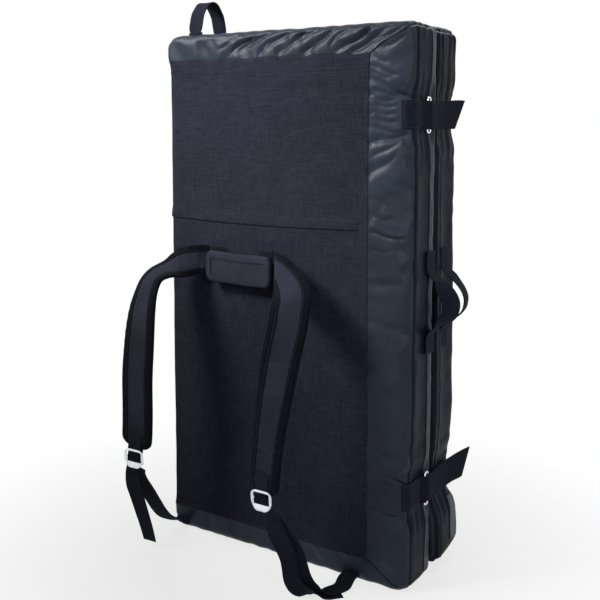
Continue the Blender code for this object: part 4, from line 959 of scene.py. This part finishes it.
# Raised seams of the cover and the threads that hold the panel.
def sewCover(name):
    skin, body, half = skins[name], name + "_half", halves[name]
    face = half["face"] + half["out"] * 0.012
    right, low, high, lean = [panelEdge[key] for key in ("right", "low", "high", "lean")]
    y, gap = half["landing"] + half["out"] * pad["wallSeam"], seamSet["threadGap"]
    # The mitre seam cords use the darker nylon copy that is painted shade on the walls.
    seams = (("top_mitre_seam", "shadedNylon", (right - lean, face, high), (0.256, face, 0.997), 0.004, 0.0003),
             ("foot_mitre_seam", "shadedNylon", (right, face, low), (0.256, face, 0.003), 0.004, 0.0003),
             ("wall_welt", "nylon", (0.275, y, 0.012), (0.275, y, 0.988), 0.008, 0.0002))
    for label, look, start, end, spacing, lift in seams:
        seam = layTube(skin.line(straight(start, end, spacing), lift)[0], seamSet["cord"], 8)
        dress(seam, f"{name}_{label}", look, body)
    border = [[Vector((right + gap - leanAt(z), face, z)) for z in np.linspace(low, high, 90)],
              straight((right + gap - lean, face, high + gap), (-0.24, face, high + gap), 0.01),
              straight((right, face, low - gap), (-0.24, face, low - gap), 0.01)]
    sew(name + "_panel_threads", [skin.line(line) for line in border], body, "paleThread")


def sewPanel(piece, heights):
    name = piece.name.split("_")[0]
    face = halves[name]["face"] + halves[name]["out"] * 0.02
    lines = [straight((panelEdge["right"] - 0.004, face, z), (-0.245, face, z), 0.01) for z in heights]
    sewOn(piece.name + "_threads", piece, lines, name + "_half")


hingeSet = {"faces": {"front": 0.0516, "rear": 0.0534}, "outer": 0.2655, "wave": 0.0003,
            "thickness": 0.0007, "beadX": -0.268, "beadY": 0.0525, "bead": 0.0013}


def makeHinge():
    for name, face in hingeSet["faces"].items():
        node = name + "_hinge_strip"
        low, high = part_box(node)
        rows = []
        for z in np.linspace(low.z, high.z, 95):
            row = [(x, face + hingeSet["wave"] * noise.noise(Vector((x * 60, z * 25, face))), z)
                   for x in np.linspace(-hingeSet["outer"], high.x, 10)]
            rows.append(row if name == "front" else row[::-1])
        strip = thicken(layGrid(rows), hingeSet["thickness"])
        dress(strip, name + "_hinge_cloth", "cloth", name + "_half", node)
    low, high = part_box("front_hinge_strip")
    foot, top = [(hingeSet["beadX"], hingeSet["beadY"], z) for z in (low.z, high.z)]
    bead = layTube(straight(foot, top, 0.01), hingeSet["bead"])
    dress(bead, "hinge_bead", "binding", "front_half")


def makeLabel():
    low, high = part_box("blank_label")
    columns = [(pad["halfWidth"], y, (1, 0.1, 0)) for y in np.linspace(low.y, high.y, 16)]
    tag = layCloth(skinRows(skins["rear"], columns, np.linspace(low.z, high.z, 30), lambda x, z: (
        0.0004 + 0.0004 * noise.noise(Vector((z * 60, x * 60, 9))), 0.0)), 0.0006)
    dress(tag, "blank_label_cloth", "label", "rear_half", "blank_label")
    edge = 0.0018
    lines = wallBox(0.28, low.y + edge, high.y - edge, low.z + edge, high.z - edge, cross=False)
    sewOn("label_stitches", tag, lines, "rear_half", 0.0002)


zipSet = {"thickness": 0.0006, "coilGap": 0.0013, "stitchGap": 0.0095,
          "tooth": {"length": 0.0016, "gap": 0.0007, "width": 0.0028, "height": 0.0016}}


def makeZip(name):
    body, node, slider = name + "_half", name + "_zip_chain", name + "_zip_slider"
    low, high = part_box(node)
    columns = [(-pad["halfWidth"], y, (-1, 0, 0)) for y in np.linspace(high.y, low.y, 9)]
    heights = np.linspace(low.z, high.z, 90)
    tape = layCloth(skinRows(skins[name], columns, heights, 0.0002), zipSet["thickness"])
    dress(tape, name + "_zip_tape", "binding", body, node)

    def pair(gap):
        return [straight((-0.28, y, low.z), (-0.28, y, high.z), 0.01)
                for y in ((low.y + high.y) / 2 - gap, (low.y + high.y) / 2 + gap)]

    skin = Skin(tape)
    sew(name + "_zip_coil", [skin.line(line, 0.0002) for line in pair(zipSet["coilGap"])], body, "coil",
        zipSet["tooth"])
    sewOn(name + "_zip_stitches", tape, pair(zipSet["stitchGap"]), body)
    copy = newObject(slider, frame["nodes"][slider].data.copy())
    edit(copy, ("remove_doubles", {"threshold": 1e-5}),
         ("dissolve_limited", {"angle_limit": math.radians(1)}))
    dress(bevel(copy, 0.0004, 3, 35), slider + "_fine", "metal", slider, slider)


# The outline of a rounded frame from its right side on; its foot may bulge.
def roundedFrame(half, top, foot, corner, count, bulge=0.0):
    points = []
    for k, (a, b) in enumerate(((1, 1), (-1, 1), (-1, -1), (1, -1))):
        for t in np.radians(np.linspace(0, 90, count)) + k * math.pi / 2:
            x = a * (half - corner) + corner * math.cos(t)
            y = (top - corner if b > 0 else foot + corner) + corner * math.sin(t)
            points.append((x, y - bulge * max(0.0, 1 - (x / half) ** 2) * (b < 0)))
    return points


ringSet = {"wire": 0.0019, "turn": 0.0038}


def makeRing(which):
    low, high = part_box(which + "_ring")
    middle = (low + high) / 2
    flat, tall = (high.y - low.y) / 2 - ringSet["wire"], (high.z - low.z) / 2 - ringSet["wire"]
    outline = roundedFrame(flat, tall, -tall, ringSet["turn"], 8)
    path = [(middle.x, middle.y + y, middle.z + z) for y, z in outline]
    ring = layTube(path, ringSet["wire"], 14, closed=True)
    dress(ring, which + "_ring_wire", "metal", which + "_ring", which + "_ring")


patchSet = {"half": 0.0248, "lift": 0.0013, "eye": 0.0034, "sag": 0.004, "boxEnd": 0.037, "barGap": 0.0035}


# The webbing sewn round the pad's corner, with an eye that holds the ring's near bar.
def makeAnchorPatch(which):
    node, face, edge, eye = which + "_anchor_patch", front["face"], pad["edge"], patchSet["eye"]
    low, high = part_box(node)
    ringLow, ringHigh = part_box(which + "_ring")
    bar = Vector(((ringLow.x + ringHigh.x) / 2, ringLow.y + ringSet["wire"], (low.z + high.z) / 2))
    line = [(x, face, (0, -1, 0)) for x in np.linspace(low.x, flatFrom, 3) if x < flatFrom]
    for t in np.radians(np.linspace(0, 90, 9)):
        x = flatFrom + edge * math.sin(t)
        if x > low.x:
            line.append((x, face + edge * (1 - math.cos(t)), (math.sin(t), -math.cos(t), 0)))
    line += [(pad["halfWidth"], y, (1, 0, 0)) for y in np.arange(face + edge + 0.006, bar.y - 0.006, 0.006)]
    points = skinRows(skins["front"], line, [bar.z], patchSet["lift"])[0]
    for t in np.radians((100, 60, 20, -20, -60, -100, -135)):
        points.append((bar.x + eye * math.sin(t), bar.y + eye * math.cos(t), bar.z))
    points.append((bar.x - eye * 0.9, bar.y - 0.008, bar.z))
    packed = alongPath(points, (0, 0, 1), patchSet["half"])
    if packed[0][7] > 0:
        packed[:, 3:9] *= -1
    if which == "lower":
        packed[:, 2] += np.interp(packed[:, 1], (low.y, bar.y), (patchSet["sag"], 0.0))
    sweep(node + "_weave", packed, "front_half", node)
    reach = lengthsAlong(packed[:, :3])[-1] - patchSet["boxEnd"]
    stitchBox(which + "_patch_stitches", packed, 0.004, reach, "front_half",
              (reach + 2 * patchSet["barGap"], reach + patchSet["barGap"]), "paleThread")


closureSet = {"innerX": 0.2615, "lift": 0.0003, "stitchX": 0.27, "margin": 0.004, "boxHalf": 0.0215}


def makeClosure(which):
    middle, strap, base = closureHeights[which], which + "_closure_strap", which + "_strap_base"
    near = (closureSet["innerX"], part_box(strap)[0].y + 0.02, middle)
    strapFrom(strap, near, (-1, 0, 0), which + "_closure")
    low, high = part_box(base)
    columns = [(pad["halfWidth"], y, (1, 0, 0)) for y in np.linspace(low.y, high.y, 12)]
    rows = skinRows(skins["rear"], columns, np.linspace(low.z, high.z, 12), closureSet["lift"])
    piece = layCloth(rows, strapSet["thickness"])
    dress(piece, base + "_weave", "webbing", "rear_half", base)
    margin, half = closureSet["margin"], closureSet["boxHalf"]
    lines = wallBox(closureSet["stitchX"], low.y + margin, high.y - margin, middle - half, middle + half)
    sewOn(which + "_base_stitches", piece, lines, "rear_half")


handleSet = {"front": {"y": 0.030, "fold": 0.0030, "turn": 44},
             "rear": {"y": 0.095, "fold": 0.0012, "turn": -9}}


def makeHandle(name):
    spot, grip = handleSet[name], name + "_handle_grip"
    low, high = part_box(grip)
    middles, sides, outs, widths = strapFrame(readRings(grip, (0.284, spot["y"], high.z)), (1, 0, 0))
    shares = np.linspace(0, 1, len(middles))
    turn = (math.radians(spot["turn"]) * np.sin(math.pi * shares) ** 0.8)[:, None]
    alongs = np.cross(outs, sides)
    turned = sides * np.cos(turn) + np.cross(alongs, sides) * np.sin(turn)
    middles[:, 0] -= 0.020 * np.maximum(0, np.sin(turn))[:, 0]
    packed = finer(pack(middles, turned, np.cross(turned, alongs), widths), 5)
    sweep(grip + "_weave", packed, name + "_handle", grip,
          shape=lambda a, along: spot["fold"] * (0.6 - abs(a)) * math.sin(math.pi * along) ** 0.5)
    for end in ("top", "bottom"):
        node = f"{name}_handle_{end}_tab"
        low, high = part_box(node)
        far = high.z if end == "top" else low.z
        packed = strapFrom(node, (low.x, spot["y"], far), (1, 0, 0), name + "_half", 6)
        stitchBox(node + "_stitches", packed, 0.003, 0.028, name + "_half")


loopSet = {"x": -0.205, "footY": 0.0388, "half": 0.016, "pinch": 0.34, "curl": 0.0008}


def makeDragLoop():
    rings = readRings("drag_loop", (loopSet["x"], -0.039, 1.003))
    middles, sides, outs, widths = strapFrame(rings, (0, -1, 0))
    middles[:, 1] *= 1 - loopSet["pinch"] * ramp(middles[:, 2], 1.006, 0.050) ** 1.6
    packed = finer(pack(middles, sides, outs, widths), 4)
    sweep("drag_loop_weave", packed, "drag_loop", "drag_loop",
          shape=lambda a, along: loopSet["curl"] * a * a)
    for name, out in (("front", -1), ("rear", 1)):
        points = [(loopSet["x"], out * (loopSet["footY"] + y), z)
                  for y, z in ((0, 1.0080), (0, 1.0050), (0.0002, 1.0025), (0.0006, 0.9995))]
        node = f"drag_loop_{name}_foot"
        sweep(node + "_weave", alongPath(points, (1, 0, 0), loopSet["half"], 4), "front_half", node)


def rootOf(body):
    return Vector(next(j["pos_m"] for j in frame["joints"] if j["child"] == body))


padSet = {"square": (0.42, 0.55), "puff": 0.14, "gather": 0.0009, "gatherRate": 350, "creaseEdge": 0.8,
          "creaseHalf": 0.0034, "ridge": 0.6, "ridgeAt": 0.0075, "ridgeHalf": 0.0050, "binding": 0.0008,
          "bindingArc": 1.32, "seamArc": 1.24, "bindingOut": 0.0007, "seamOut": 0.0017}


# Cross-sections of a flat padded strip, with its bindings and stitches.
class Padded:
    def __init__(self, packed, seed, roundStart=0.0, roundEnd=0.0, creases=()):
        self.packed = packed
        self.creases = creases
        self.reach = lengthsAlong(packed[:, :3])
        self.seed = seed
        self.rounds = (roundStart, roundEnd)

    # How much narrower the strip is at a row because its ends are rounded.
    def narrower(self, k):
        drop = 0.0
        for size, away in zip(self.rounds, (self.reach[k], self.reach[-1] - self.reach[k])):
            if size and away < size:
                drop = max(drop, size - math.sqrt(max(0.0, size**2 - (size - away) ** 2)))
        return drop

    def noiseAt(self, *places):
        return noise.noise(Vector(places + (self.seed,)))

    # The place at an angle round row k: across, then out by its puff, gathers and creases.
    def place(self, k, angle, out=0.0):
        row, reach = self.packed[k], self.reach[k]
        half, deep = row[9] - self.narrower(k), row[10]
        c, s = math.cos(angle), math.sin(angle)
        a, h = [math.copysign(abs(v) ** power, v) for v, power in zip((c, s), padSet["square"])]
        puff = 1 + padSet["puff"] * self.noiseAt(reach * 26 + a, a * 1.5)
        gathers = max(0.0, self.noiseAt(reach * 11, 3.1) + 0.2) * (s > 0)
        crease = padSet["gather"] * gathers * math.sin(reach * padSet["gatherRate"] + a * 2.6 + self.seed)
        if s > 0 and abs(a) < padSet["creaseEdge"]:
            fade = 1 - (a / padSet["creaseEdge"]) ** 4
            for share, slant, depth in self.creases:
                away = reach - share * self.reach[-1] - slant * a * half
                crease -= depth * math.exp(-((away / padSet["creaseHalf"]) ** 2)) * fade
                beyond = (away - padSet["ridgeAt"]) / padSet["ridgeHalf"]
                crease += depth * padSet["ridge"] * math.exp(-(beyond**2)) * fade
        across, outward = unit(row[3:6]), unit(row[6:9])
        return row[:3] + across * (a * (half + out)) + outward * (h * (deep * puff + out) + crease)

    def strip(self, rows, angles, out=0.0):
        return layGrid([[self.place(k, t, out) for t in angles] for k in rows])

    def make(self, name, body, node, join=None, edge="binding"):
        rows = range(len(self.packed))
        core = closeTube(self.strip(rows, np.linspace(0, 2 * math.pi, 45)))
        dress(core, name + "_core", "strap", body, node)
        pieces = [core]
        seamArc = padSet["seamArc"]
        for middle, seam, label in ((0.0, seamArc, "one"), (math.pi, math.pi - seamArc, "two")):
            arcs = middle + np.linspace(-padSet["bindingArc"], padSet["bindingArc"], 17)
            strip = thicken(self.strip(rows, arcs, padSet["bindingOut"]), padSet["binding"], 1.0)
            pieces.append(dress(strip, name + "_binding_" + label, edge, body))
            line = [self.place(k, seam, padSet["seamOut"]) for k in rows[3:-3]]
            pieces.append(sew(name + "_stitches_" + label, [(line, self.packed[3:-3, 6:9])], body))
        for piece in pieces if join else ():
            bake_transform(piece)


# Between two shares of the length the inner edge of a bend runs straight.
def smoothBend(packed, bend):
    first, last = [round(share * (len(packed) - 1)) for share in bend]
    if last - first < 3:
        return packed
    edges = [packed[:, :3] + sign * unit(packed[:, 3:6]) * packed[:, 9:10] for sign in (1, -1)]
    part = slice(first, last + 1)
    inner = min(edges, key=lambda e: lengthsAlong(e[part])[-1])
    steps = lengthsAlong(packed[part, :3])
    shares = (steps / steps[-1])[:, None]
    inner[part] = inner[first] * (1 - shares) + inner[last] * shares
    spans = edges[0] - edges[1]
    return pack((edges[0] + edges[1]) / 2, unit(spans), packed[:, 6:9], np.linalg.norm(spans, axis=1) / 2,
                packed[:, 10])


# Each crease has its share of the strap's length, its slant and its depth on the outer side.
shoulderSet = {"left": {"longer": 0.003, "bend": (0, 0), "seed": 5.0, "joinX": -0.02,
                        "creases": ((0.40, 0.2, 0.0008), (0.52, -0.2, 0.0007))},
               "right": {"longer": 0.012, "bend": (0.02, 0.34), "seed": 23.0, "joinX": 0.02,
                         "creases": ((0.50, 0.15, 0.0026), (0.60, 0.1, 0.0018), (0.80, 0.5, 0.0024),
                                     (0.84, 0.5, 0.0028), (0.88, 0.55, 0.0030), (0.92, 0.5, 0.0026))}}


def makeShoulderStrap(side):
    node, body, spot = side + "_shoulder_strap", side + "_strap", shoulderSet[side]
    root = rootOf(body)
    rings = readRings(node, root, size=9)
    middles = rings.mean(axis=1)
    pairs = [(i, j) for i in range(9) for j in range(i)]
    wide = max(pairs, key=lambda p: np.linalg.norm(rings[9][p[0]] - rings[9][p[1]]))
    spans = rings[:, wide[0]] - rings[:, wide[1]]
    sides = unit(spans)
    outs = unit(np.cross(sides, unit(np.gradient(middles, axis=0))))
    if outs[9][1] > 0:
        outs, sides = -outs, -sides
    depths = np.ptp(np.einsum("ijk,ik->ij", rings, outs), axis=1) / 2
    packed = finer(pack(middles, sides, outs, np.linalg.norm(spans, axis=1) / 2, depths), 7)
    packed = smoothBend(packed, spot["bend"])
    shares = ramp(np.linspace(0, 1, len(packed)), 0.7, 0.3)[:, None]
    packed[:, :3] += unit(packed[-1, :3] - packed[-6, :3]) * spot["longer"] * shares
    strip = Padded(packed, spot["seed"], 0.006, 0.018, spot["creases"])
    strip.make(side + "_strap_pad", None, node,
               ("front_half", body, tuple(root), tuple(root + Vector((spot["joinX"], -0.004, 0)))))


haulSet = {"height": 0.5600, "tilt": 0.0030, "sag": 0.0015, "half": 0.0280, "deep": 0.0042, "round": 0.012,
           "wrap": 0.086, "wrapDeep": 0.0026, "wrapTall": 0.0205, "wrapPower": (0.4, 0.7),
           "webbingY": (-0.0625, -0.0668, -0.0698, -0.0705, -0.0705, -0.0705, -0.0698, -0.0668, -0.0625)}


def makeHaulPad():
    low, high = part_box("haul_pad")
    shares = np.linspace(0, 1, 40)
    heights = haulSet["height"] - haulSet["tilt"] * shares - haulSet["sag"] * np.sin(math.pi * shares)
    middles = [(low.x + (high.x - low.x) * t, (low.y + high.y) / 2, z) for t, z in zip(shares, heights)]
    packed = pack(middles, np.tile((0, 0, 1.0), (40, 1)), np.tile((0, -1.0, 0), (40, 1)),
                  np.full(40, haulSet["half"]), np.full(40, haulSet["deep"]))
    sleeve = Padded(packed, 41.0, haulSet["round"], haulSet["round"])
    sleeve.make("haul_sleeve", "front_half", "haul_pad", edge="strap")
    for name, end in (("left", range(0, 4)), ("right", range(36, 40))):
        band = thicken(sleeve.strip(end, np.linspace(0, math.pi, 33), 0.0008), padSet["binding"], 1.0)
        dress(band, "haul_sleeve_end_" + name, "strap", "front_half")
    low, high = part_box("haul_wrap")
    ring = []
    for t in np.linspace(0, 2 * math.pi, 41):
        powers = zip((math.cos(t), math.sin(t)), haulSet["wrapPower"])
        c, s = [math.copysign(abs(v) ** power, v) for v, power in powers]
        ring.append(((low.y + high.y) / 2 + c * haulSet["wrapDeep"],
                     (low.z + high.z) / 2 - 0.005 + s * haulSet["wrapTall"]))
    wrap = thicken(layGrid([[(x, y, z) for y, z in ring] for x in np.linspace(low.x, high.x, 24)]), 0.0008)
    dress(wrap, "haul_wrap_cloth", "strap", "front_half", "haul_wrap")
    low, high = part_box("haul_webbing")
    path = [(x, y, (low.z + high.z) / 2)
            for x, y in zip(np.linspace(low.x + 0.001, high.x - 0.001, 9), haulSet["webbingY"])]
    sweep("haul_webbing_weave", alongPath(path, (0, 0, 1), (high.z - low.z) / 2 - 0.0002), "front_half",
          "haul_webbing")


rootSet = {"lift": 0.0024, "flatTo": 0.580, "bendY": 0.0028, "bendZ": 0.589, "tipY": 0.0012, "tipGap": 0.001,
           "boxStart": 0.004, "boxEnd": 0.046}


def makeRoots(side):
    node = side + "_root_patch"
    low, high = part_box(node)
    x = (low.x + high.x) / 2
    path = [skins["front"].at((x, front["face"] - 0.02, z), rootSet["lift"])[0]
            for z in np.linspace(low.z, rootSet["flatTo"], 6)]
    path += [(x, low.y + rootSet["bendY"], rootSet["bendZ"]),
             (x, low.y + rootSet["tipY"], high.z - rootSet["tipGap"])]
    packed = alongPath(path, (-1, 0, 0), (high.x - low.x) / 2)
    sweep(node + "_weave", packed, "front_half", node)
    stitchBox(side + "_root_stitches", packed, rootSet["boxStart"], rootSet["boxEnd"], "front_half")


def makeBuckleTab(side):
    node = side + "_buckle_tab"
    low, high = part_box(node)
    packed = strapFrom(node, ((low.x + high.x) / 2, low.y, high.z), (0, -1, 0), side + "_strap")
    stitchBox(node + "_stitches", packed, 0.003, 0.021, side + "_strap")


# Straight across the photograph's view.
viewSide = np.array((0.839, 0.545, 0.0))
hangs = {"left": {"start": (-0.24, -0.056, 0.02), "end": (-0.25, -0.172, 0.14), "turn": 0.75, "bow": 0.010,
                  "tailTurn": 0.45, "tailBow": -0.003, "tabOut": -0.2},
         "right": {"start": (0.155, -0.056, 0.012), "end": (0.045, -0.168, 0.12), "turn": 0.85, "bow": 0.028,
                   "tailTurn": 0.85, "tailBow": 0.030, "tabOut": 0}}
limpSet = {"startFade": 0.12, "endFade": 0.2, "bowFrom": 0.020, "bowSpan": 0.070, "floorGap": 0.0012,
           "tuck": 0.0058, "tuckFrom": 0.034, "tuckSpan": 0.016}


# Limp webbing along its CAD strap, its flat side turned part of the way to the viewer.
def limpWebbing(node, near, body, share, bow, tuck=False):
    middles, sides, outs, widths = strapFrame(readRings(node, near), (0, -1, 0))
    alongs = unit(np.gradient(middles, axis=0))
    shares = np.linspace(0, 1, len(middles))
    ends = ramp(-shares, -1, limpSet["endFade"]) * (1.0 if tuck else ramp(shares, 0, limpSet["startFade"]))
    ends = ease(ends)[:, None] * share
    wanted = np.where((sides @ viewSide)[:, None] < 0, -viewSide, viewSide)
    turned = unit(sides * (1 - ends) + wanted * ends)
    turned = unit(turned - alongs * np.einsum("ij,ij->i", turned, alongs)[:, None])
    middles[:, 0] += bow * ease(ramp(middles[:, 2], limpSet["bowFrom"], limpSet["bowSpan"]))
    middles[:, 2] = np.maximum(middles[:, 2], np.abs(turned[:, 2]) * widths + limpSet["floorGap"])
    if tuck:
        gap = np.linalg.norm(middles - middles[-1], axis=1)
        middles[:, 1] += limpSet["tuck"] * ramp(-gap, -limpSet["tuckFrom"], limpSet["tuckSpan"])
    packed = finer(pack(middles, turned, unit(np.cross(turned, alongs)), widths), 4)
    return sweep(node + "_weave", packed, body, node)


def makeLowerWebbing(side):
    hang, tab, tail = hangs[side], side + "_anchor_tab", side + "_webbing_tail"
    web = limpWebbing(side + "_lower_webbing", hang["start"], None, hang["turn"], hang["bow"])
    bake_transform(web)
    low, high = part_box(tab)
    columns = [(x, front["face"] + 0.003, (hang["tabOut"], -1, 0)) for x in np.linspace(low.x, high.x, 9)]
    rows = skinRows(skins["front"], columns, np.linspace(low.z - 0.004, high.z + 0.002, 6), 0.0012)
    dress(layCloth(rows, 0.0014), tab + "_weave", "webbing", "front_half", tab)
    low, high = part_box(tail)
    limpWebbing(tail, (hang["start"][0], (low.y + high.y) / 2, low.z), side + "_adjuster", hang["tailTurn"],
                hang["tailBow"], tuck=True)


adjusterSet = {"half": 0.0190, "top": 0.0235, "foot": -0.0225, "corner": 0.0120, "innerCorner": 0.0035,
               "rail": 0.0038, "lever": 0.0125, "thick": 0.0030, "tip": 0.0024, "brow": 0.0100,
               "browSpan": 0.032, "dome": 0.0007, "web": 0.0144, "bulge": 0.0030, "footBulge": 0.0070,
               "turned": 0.55, "tipSpan": 0.012, "soft": 0.0007, "bar": 0.0019, "barInset": 0.003,
               "higher": {"left": 0.007, "right": 0.006}}


# Middle and the across, up and outward directions of the CAD adjuster, raised as in the photograph.
def adjusterFrame(side):
    places = np.unique(readPoints(frame["nodes"][side + "_adjuster"]).round(6), axis=0)
    middle = places.mean(axis=0)
    axes = np.linalg.svd(places - middle)[2]
    up = axes[0] if axes[0][2] > 0 else -axes[0]
    out = axes[2] if axes[2][1] < 0 else -axes[2]
    across = np.cross(up, out)
    turn = np.array((across, up, out)).T
    flat = (places - middle) @ turn
    middle = middle + turn @ ((flat.max(axis=0) + flat.min(axis=0)) / 2) + up * adjusterSet["higher"][side]
    share = adjusterSet["turned"]
    across = unit(across * (1 - share) + (viewSide if across @ viewSide > 0 else -viewSide) * share)
    across = unit(across - up * (across @ up))
    return middle, across, up, np.cross(across, up) * (1 if np.cross(across, up) @ out > 0 else -1)


def makeAdjuster(side):
    size, body = adjusterSet, side + "_adjuster"
    middle, across, up, out = adjusterFrame(side)
    rail, slotFoot = size["rail"], size["foot"] + size["lever"]
    outer = roundedFrame(size["half"], size["top"], size["foot"] + size["footBulge"], size["corner"], 14,
                         size["footBulge"])
    inner = roundedFrame(size["half"] - rail, size["top"] - rail, slotFoot, size["innerCorner"], 14)
    rows = []
    for share in np.linspace(0, 1, 5):
        ring = np.array(outer + outer[:1]) * (1 - share) + np.array(inner + inner[:1]) * share
        span = size["tipSpan"]
        lift = ramp(-ring[:, 1], -size["foot"] - span, span) ** 1.5 * size["tip"]
        lift += ramp(ring[:, 1], slotFoot, size["browSpan"]) * size["brow"]
        lift += size["dome"] * math.sin(math.pi * share)
        rows.append([middle + across * x + up * y + out * o for (x, y), o in zip(ring, lift)])
    plate = layGrid(rows)
    edit(plate, ("remove_doubles", {"threshold": 1e-6}))
    bevel(thicken(plate, size["thick"]), size["soft"], 3)
    edit(plate, ("normals_make_consistent", {"inside": False}))
    dress(plate, side + "_ladder_lock", "metal", body, body)
    low, high = slotFoot - 0.001, size["top"] - rail - 0.0065
    points = [middle + up * (low + (high - low) * t) + out * (size["bulge"] * math.sin(math.pi * t) - 0.0012)
              for t in np.linspace(0, 1, 9)]
    sweep(side + "_lock_webbing", alongPath(points, across, size["web"]), body)
    reach = size["half"] - size["barInset"]
    bar = layTube([middle + across * x + up * (low + high) / 2 - out * 0.0004
                   for x in np.linspace(-reach, reach, 8)], size["bar"])
    dress(bar, side + "_middle_bar", "metal", body)


stageSet = {"size": 30.0, "world": 0.15, "near": 0.28, "far": 0.80, "least": 0.74}


# A pale floor that still takes the object's shadow, brighter away from it.
def layFloor():
    bpy.ops.mesh.primitive_plane_add(size=stageSet["size"])
    floor = bpy.context.object
    floor.name = "floor"
    finish = Finish("paleFloor", Roughness=0.9)
    vector = finish.vector()
    x, y = finish.split(vector, 2)
    speck = finish.noise(vector, 30.0)
    finish.feed("Principled BSDF", Base_Color=finish.tint(speck, (0.92,) * 3, (0.95,) * 3))
    glow = finish.add("ShaderNodeEmission", None, {"Color": (1, 1, 1, 1), "Strength": 1.0})
    far = (x * x + y * y).maths("SQRT").clamped(stageSet["near"], stageSet["far"])
    share = far * (1 - stageSet["least"]) + stageSet["least"]
    plain = Wire(finish, finish.shader.outputs[0])
    surface = finish.add("ShaderNodeMixShader", None, {0: finish.sight() * share, 1: plain, 2: glow})
    finish.feed("Material Output", Surface=surface)
    floor.data.materials.append(finish.material)


lamps = {"key": {"place": (-0.85, -1.00, 1.70), "aim": (-0.05, -0.05, 0.86), "size": 0.50, "spread": 50,
                 "watts": 3.7},
         "edge": {"place": (1.45, -1.10, 1.00), "aim": (0.26, -0.04, 0.70), "size": 0.40, "spread": 60,
                  "watts": 1.1},
         "top": {"place": (0.35, 1.2, 2.5), "aim": (0, 0, 0.8), "size": 0.8, "spread": 180, "watts": 10}}


def lightStudio():
    world = bpy.data.worlds.new("studio")
    bpy.context.scene.world = world
    sky = Nodes(world)
    sky.feed("Background", Strength=sky.sight() * (1 - stageSet["world"]) + stageSet["world"])
    sky.tree.nodes["Background"].inputs["Color"].default_value = (1, 1, 1, 1)
    for name, lamp in lamps.items():
        light = newObject(name, bpy.data.lights.new(name, "AREA"))
        light.data.energy = lamp["watts"]
        light.data.size = lamp["size"]
        light.data.spread = math.radians(lamp["spread"])
        light.location = lamp["place"]
        aim = Vector(lamp["aim"]) - Vector(lamp["place"])
        light.rotation_euler = aim.to_track_quat("-Z", "Y").to_euler()
    bpy.context.scene.view_settings.view_transform = "Standard"
    print("stage and lamps set")


placeCamera()
skins = {}
for name in halves:
    skins[name] = Skin(finishCover(makeCover(name), name))
    makeFoam(name)
    makeZip(name)
print("covers made")
for name in halves:
    sewCover(name)
low, high, seam = panelEdge["low"], panelEdge["high"], panelEdge["seam"]
top = high - seamSet["topLine"]
lowerPanel = makePanel("front_lower_panel", low, seam)
upperPanel = makePanel("front_upper_panel", seam - panelSet["overlap"], high, hem=True)
rearPanel = makePanel("rear_panel", low, high)
sewPanel(lowerPanel, [low + 0.004])
sewPanel(upperPanel, [high - 0.004, top, top - 0.006, seam + 0.003])
sewPanel(rearPanel, [high - 0.004, top, low + 0.004])
makeHinge()
makeLabel()
print("panels, hinge and label made")
for which in closureHeights:
    makeRing(which)
    makeAnchorPatch(which)
    makeClosure(which)
for name in halves:
    makeHandle(name)
makeDragLoop()
print("closures and handles made")
makeHaulPad()
for side in ("left", "right"):
    makeRoots(side)
    makeShoulderStrap(side)
    makeBuckleTab(side)
    makeAdjuster(side)
    makeLowerWebbing(side)
print("harness made")
layFloor()
lightStudio()
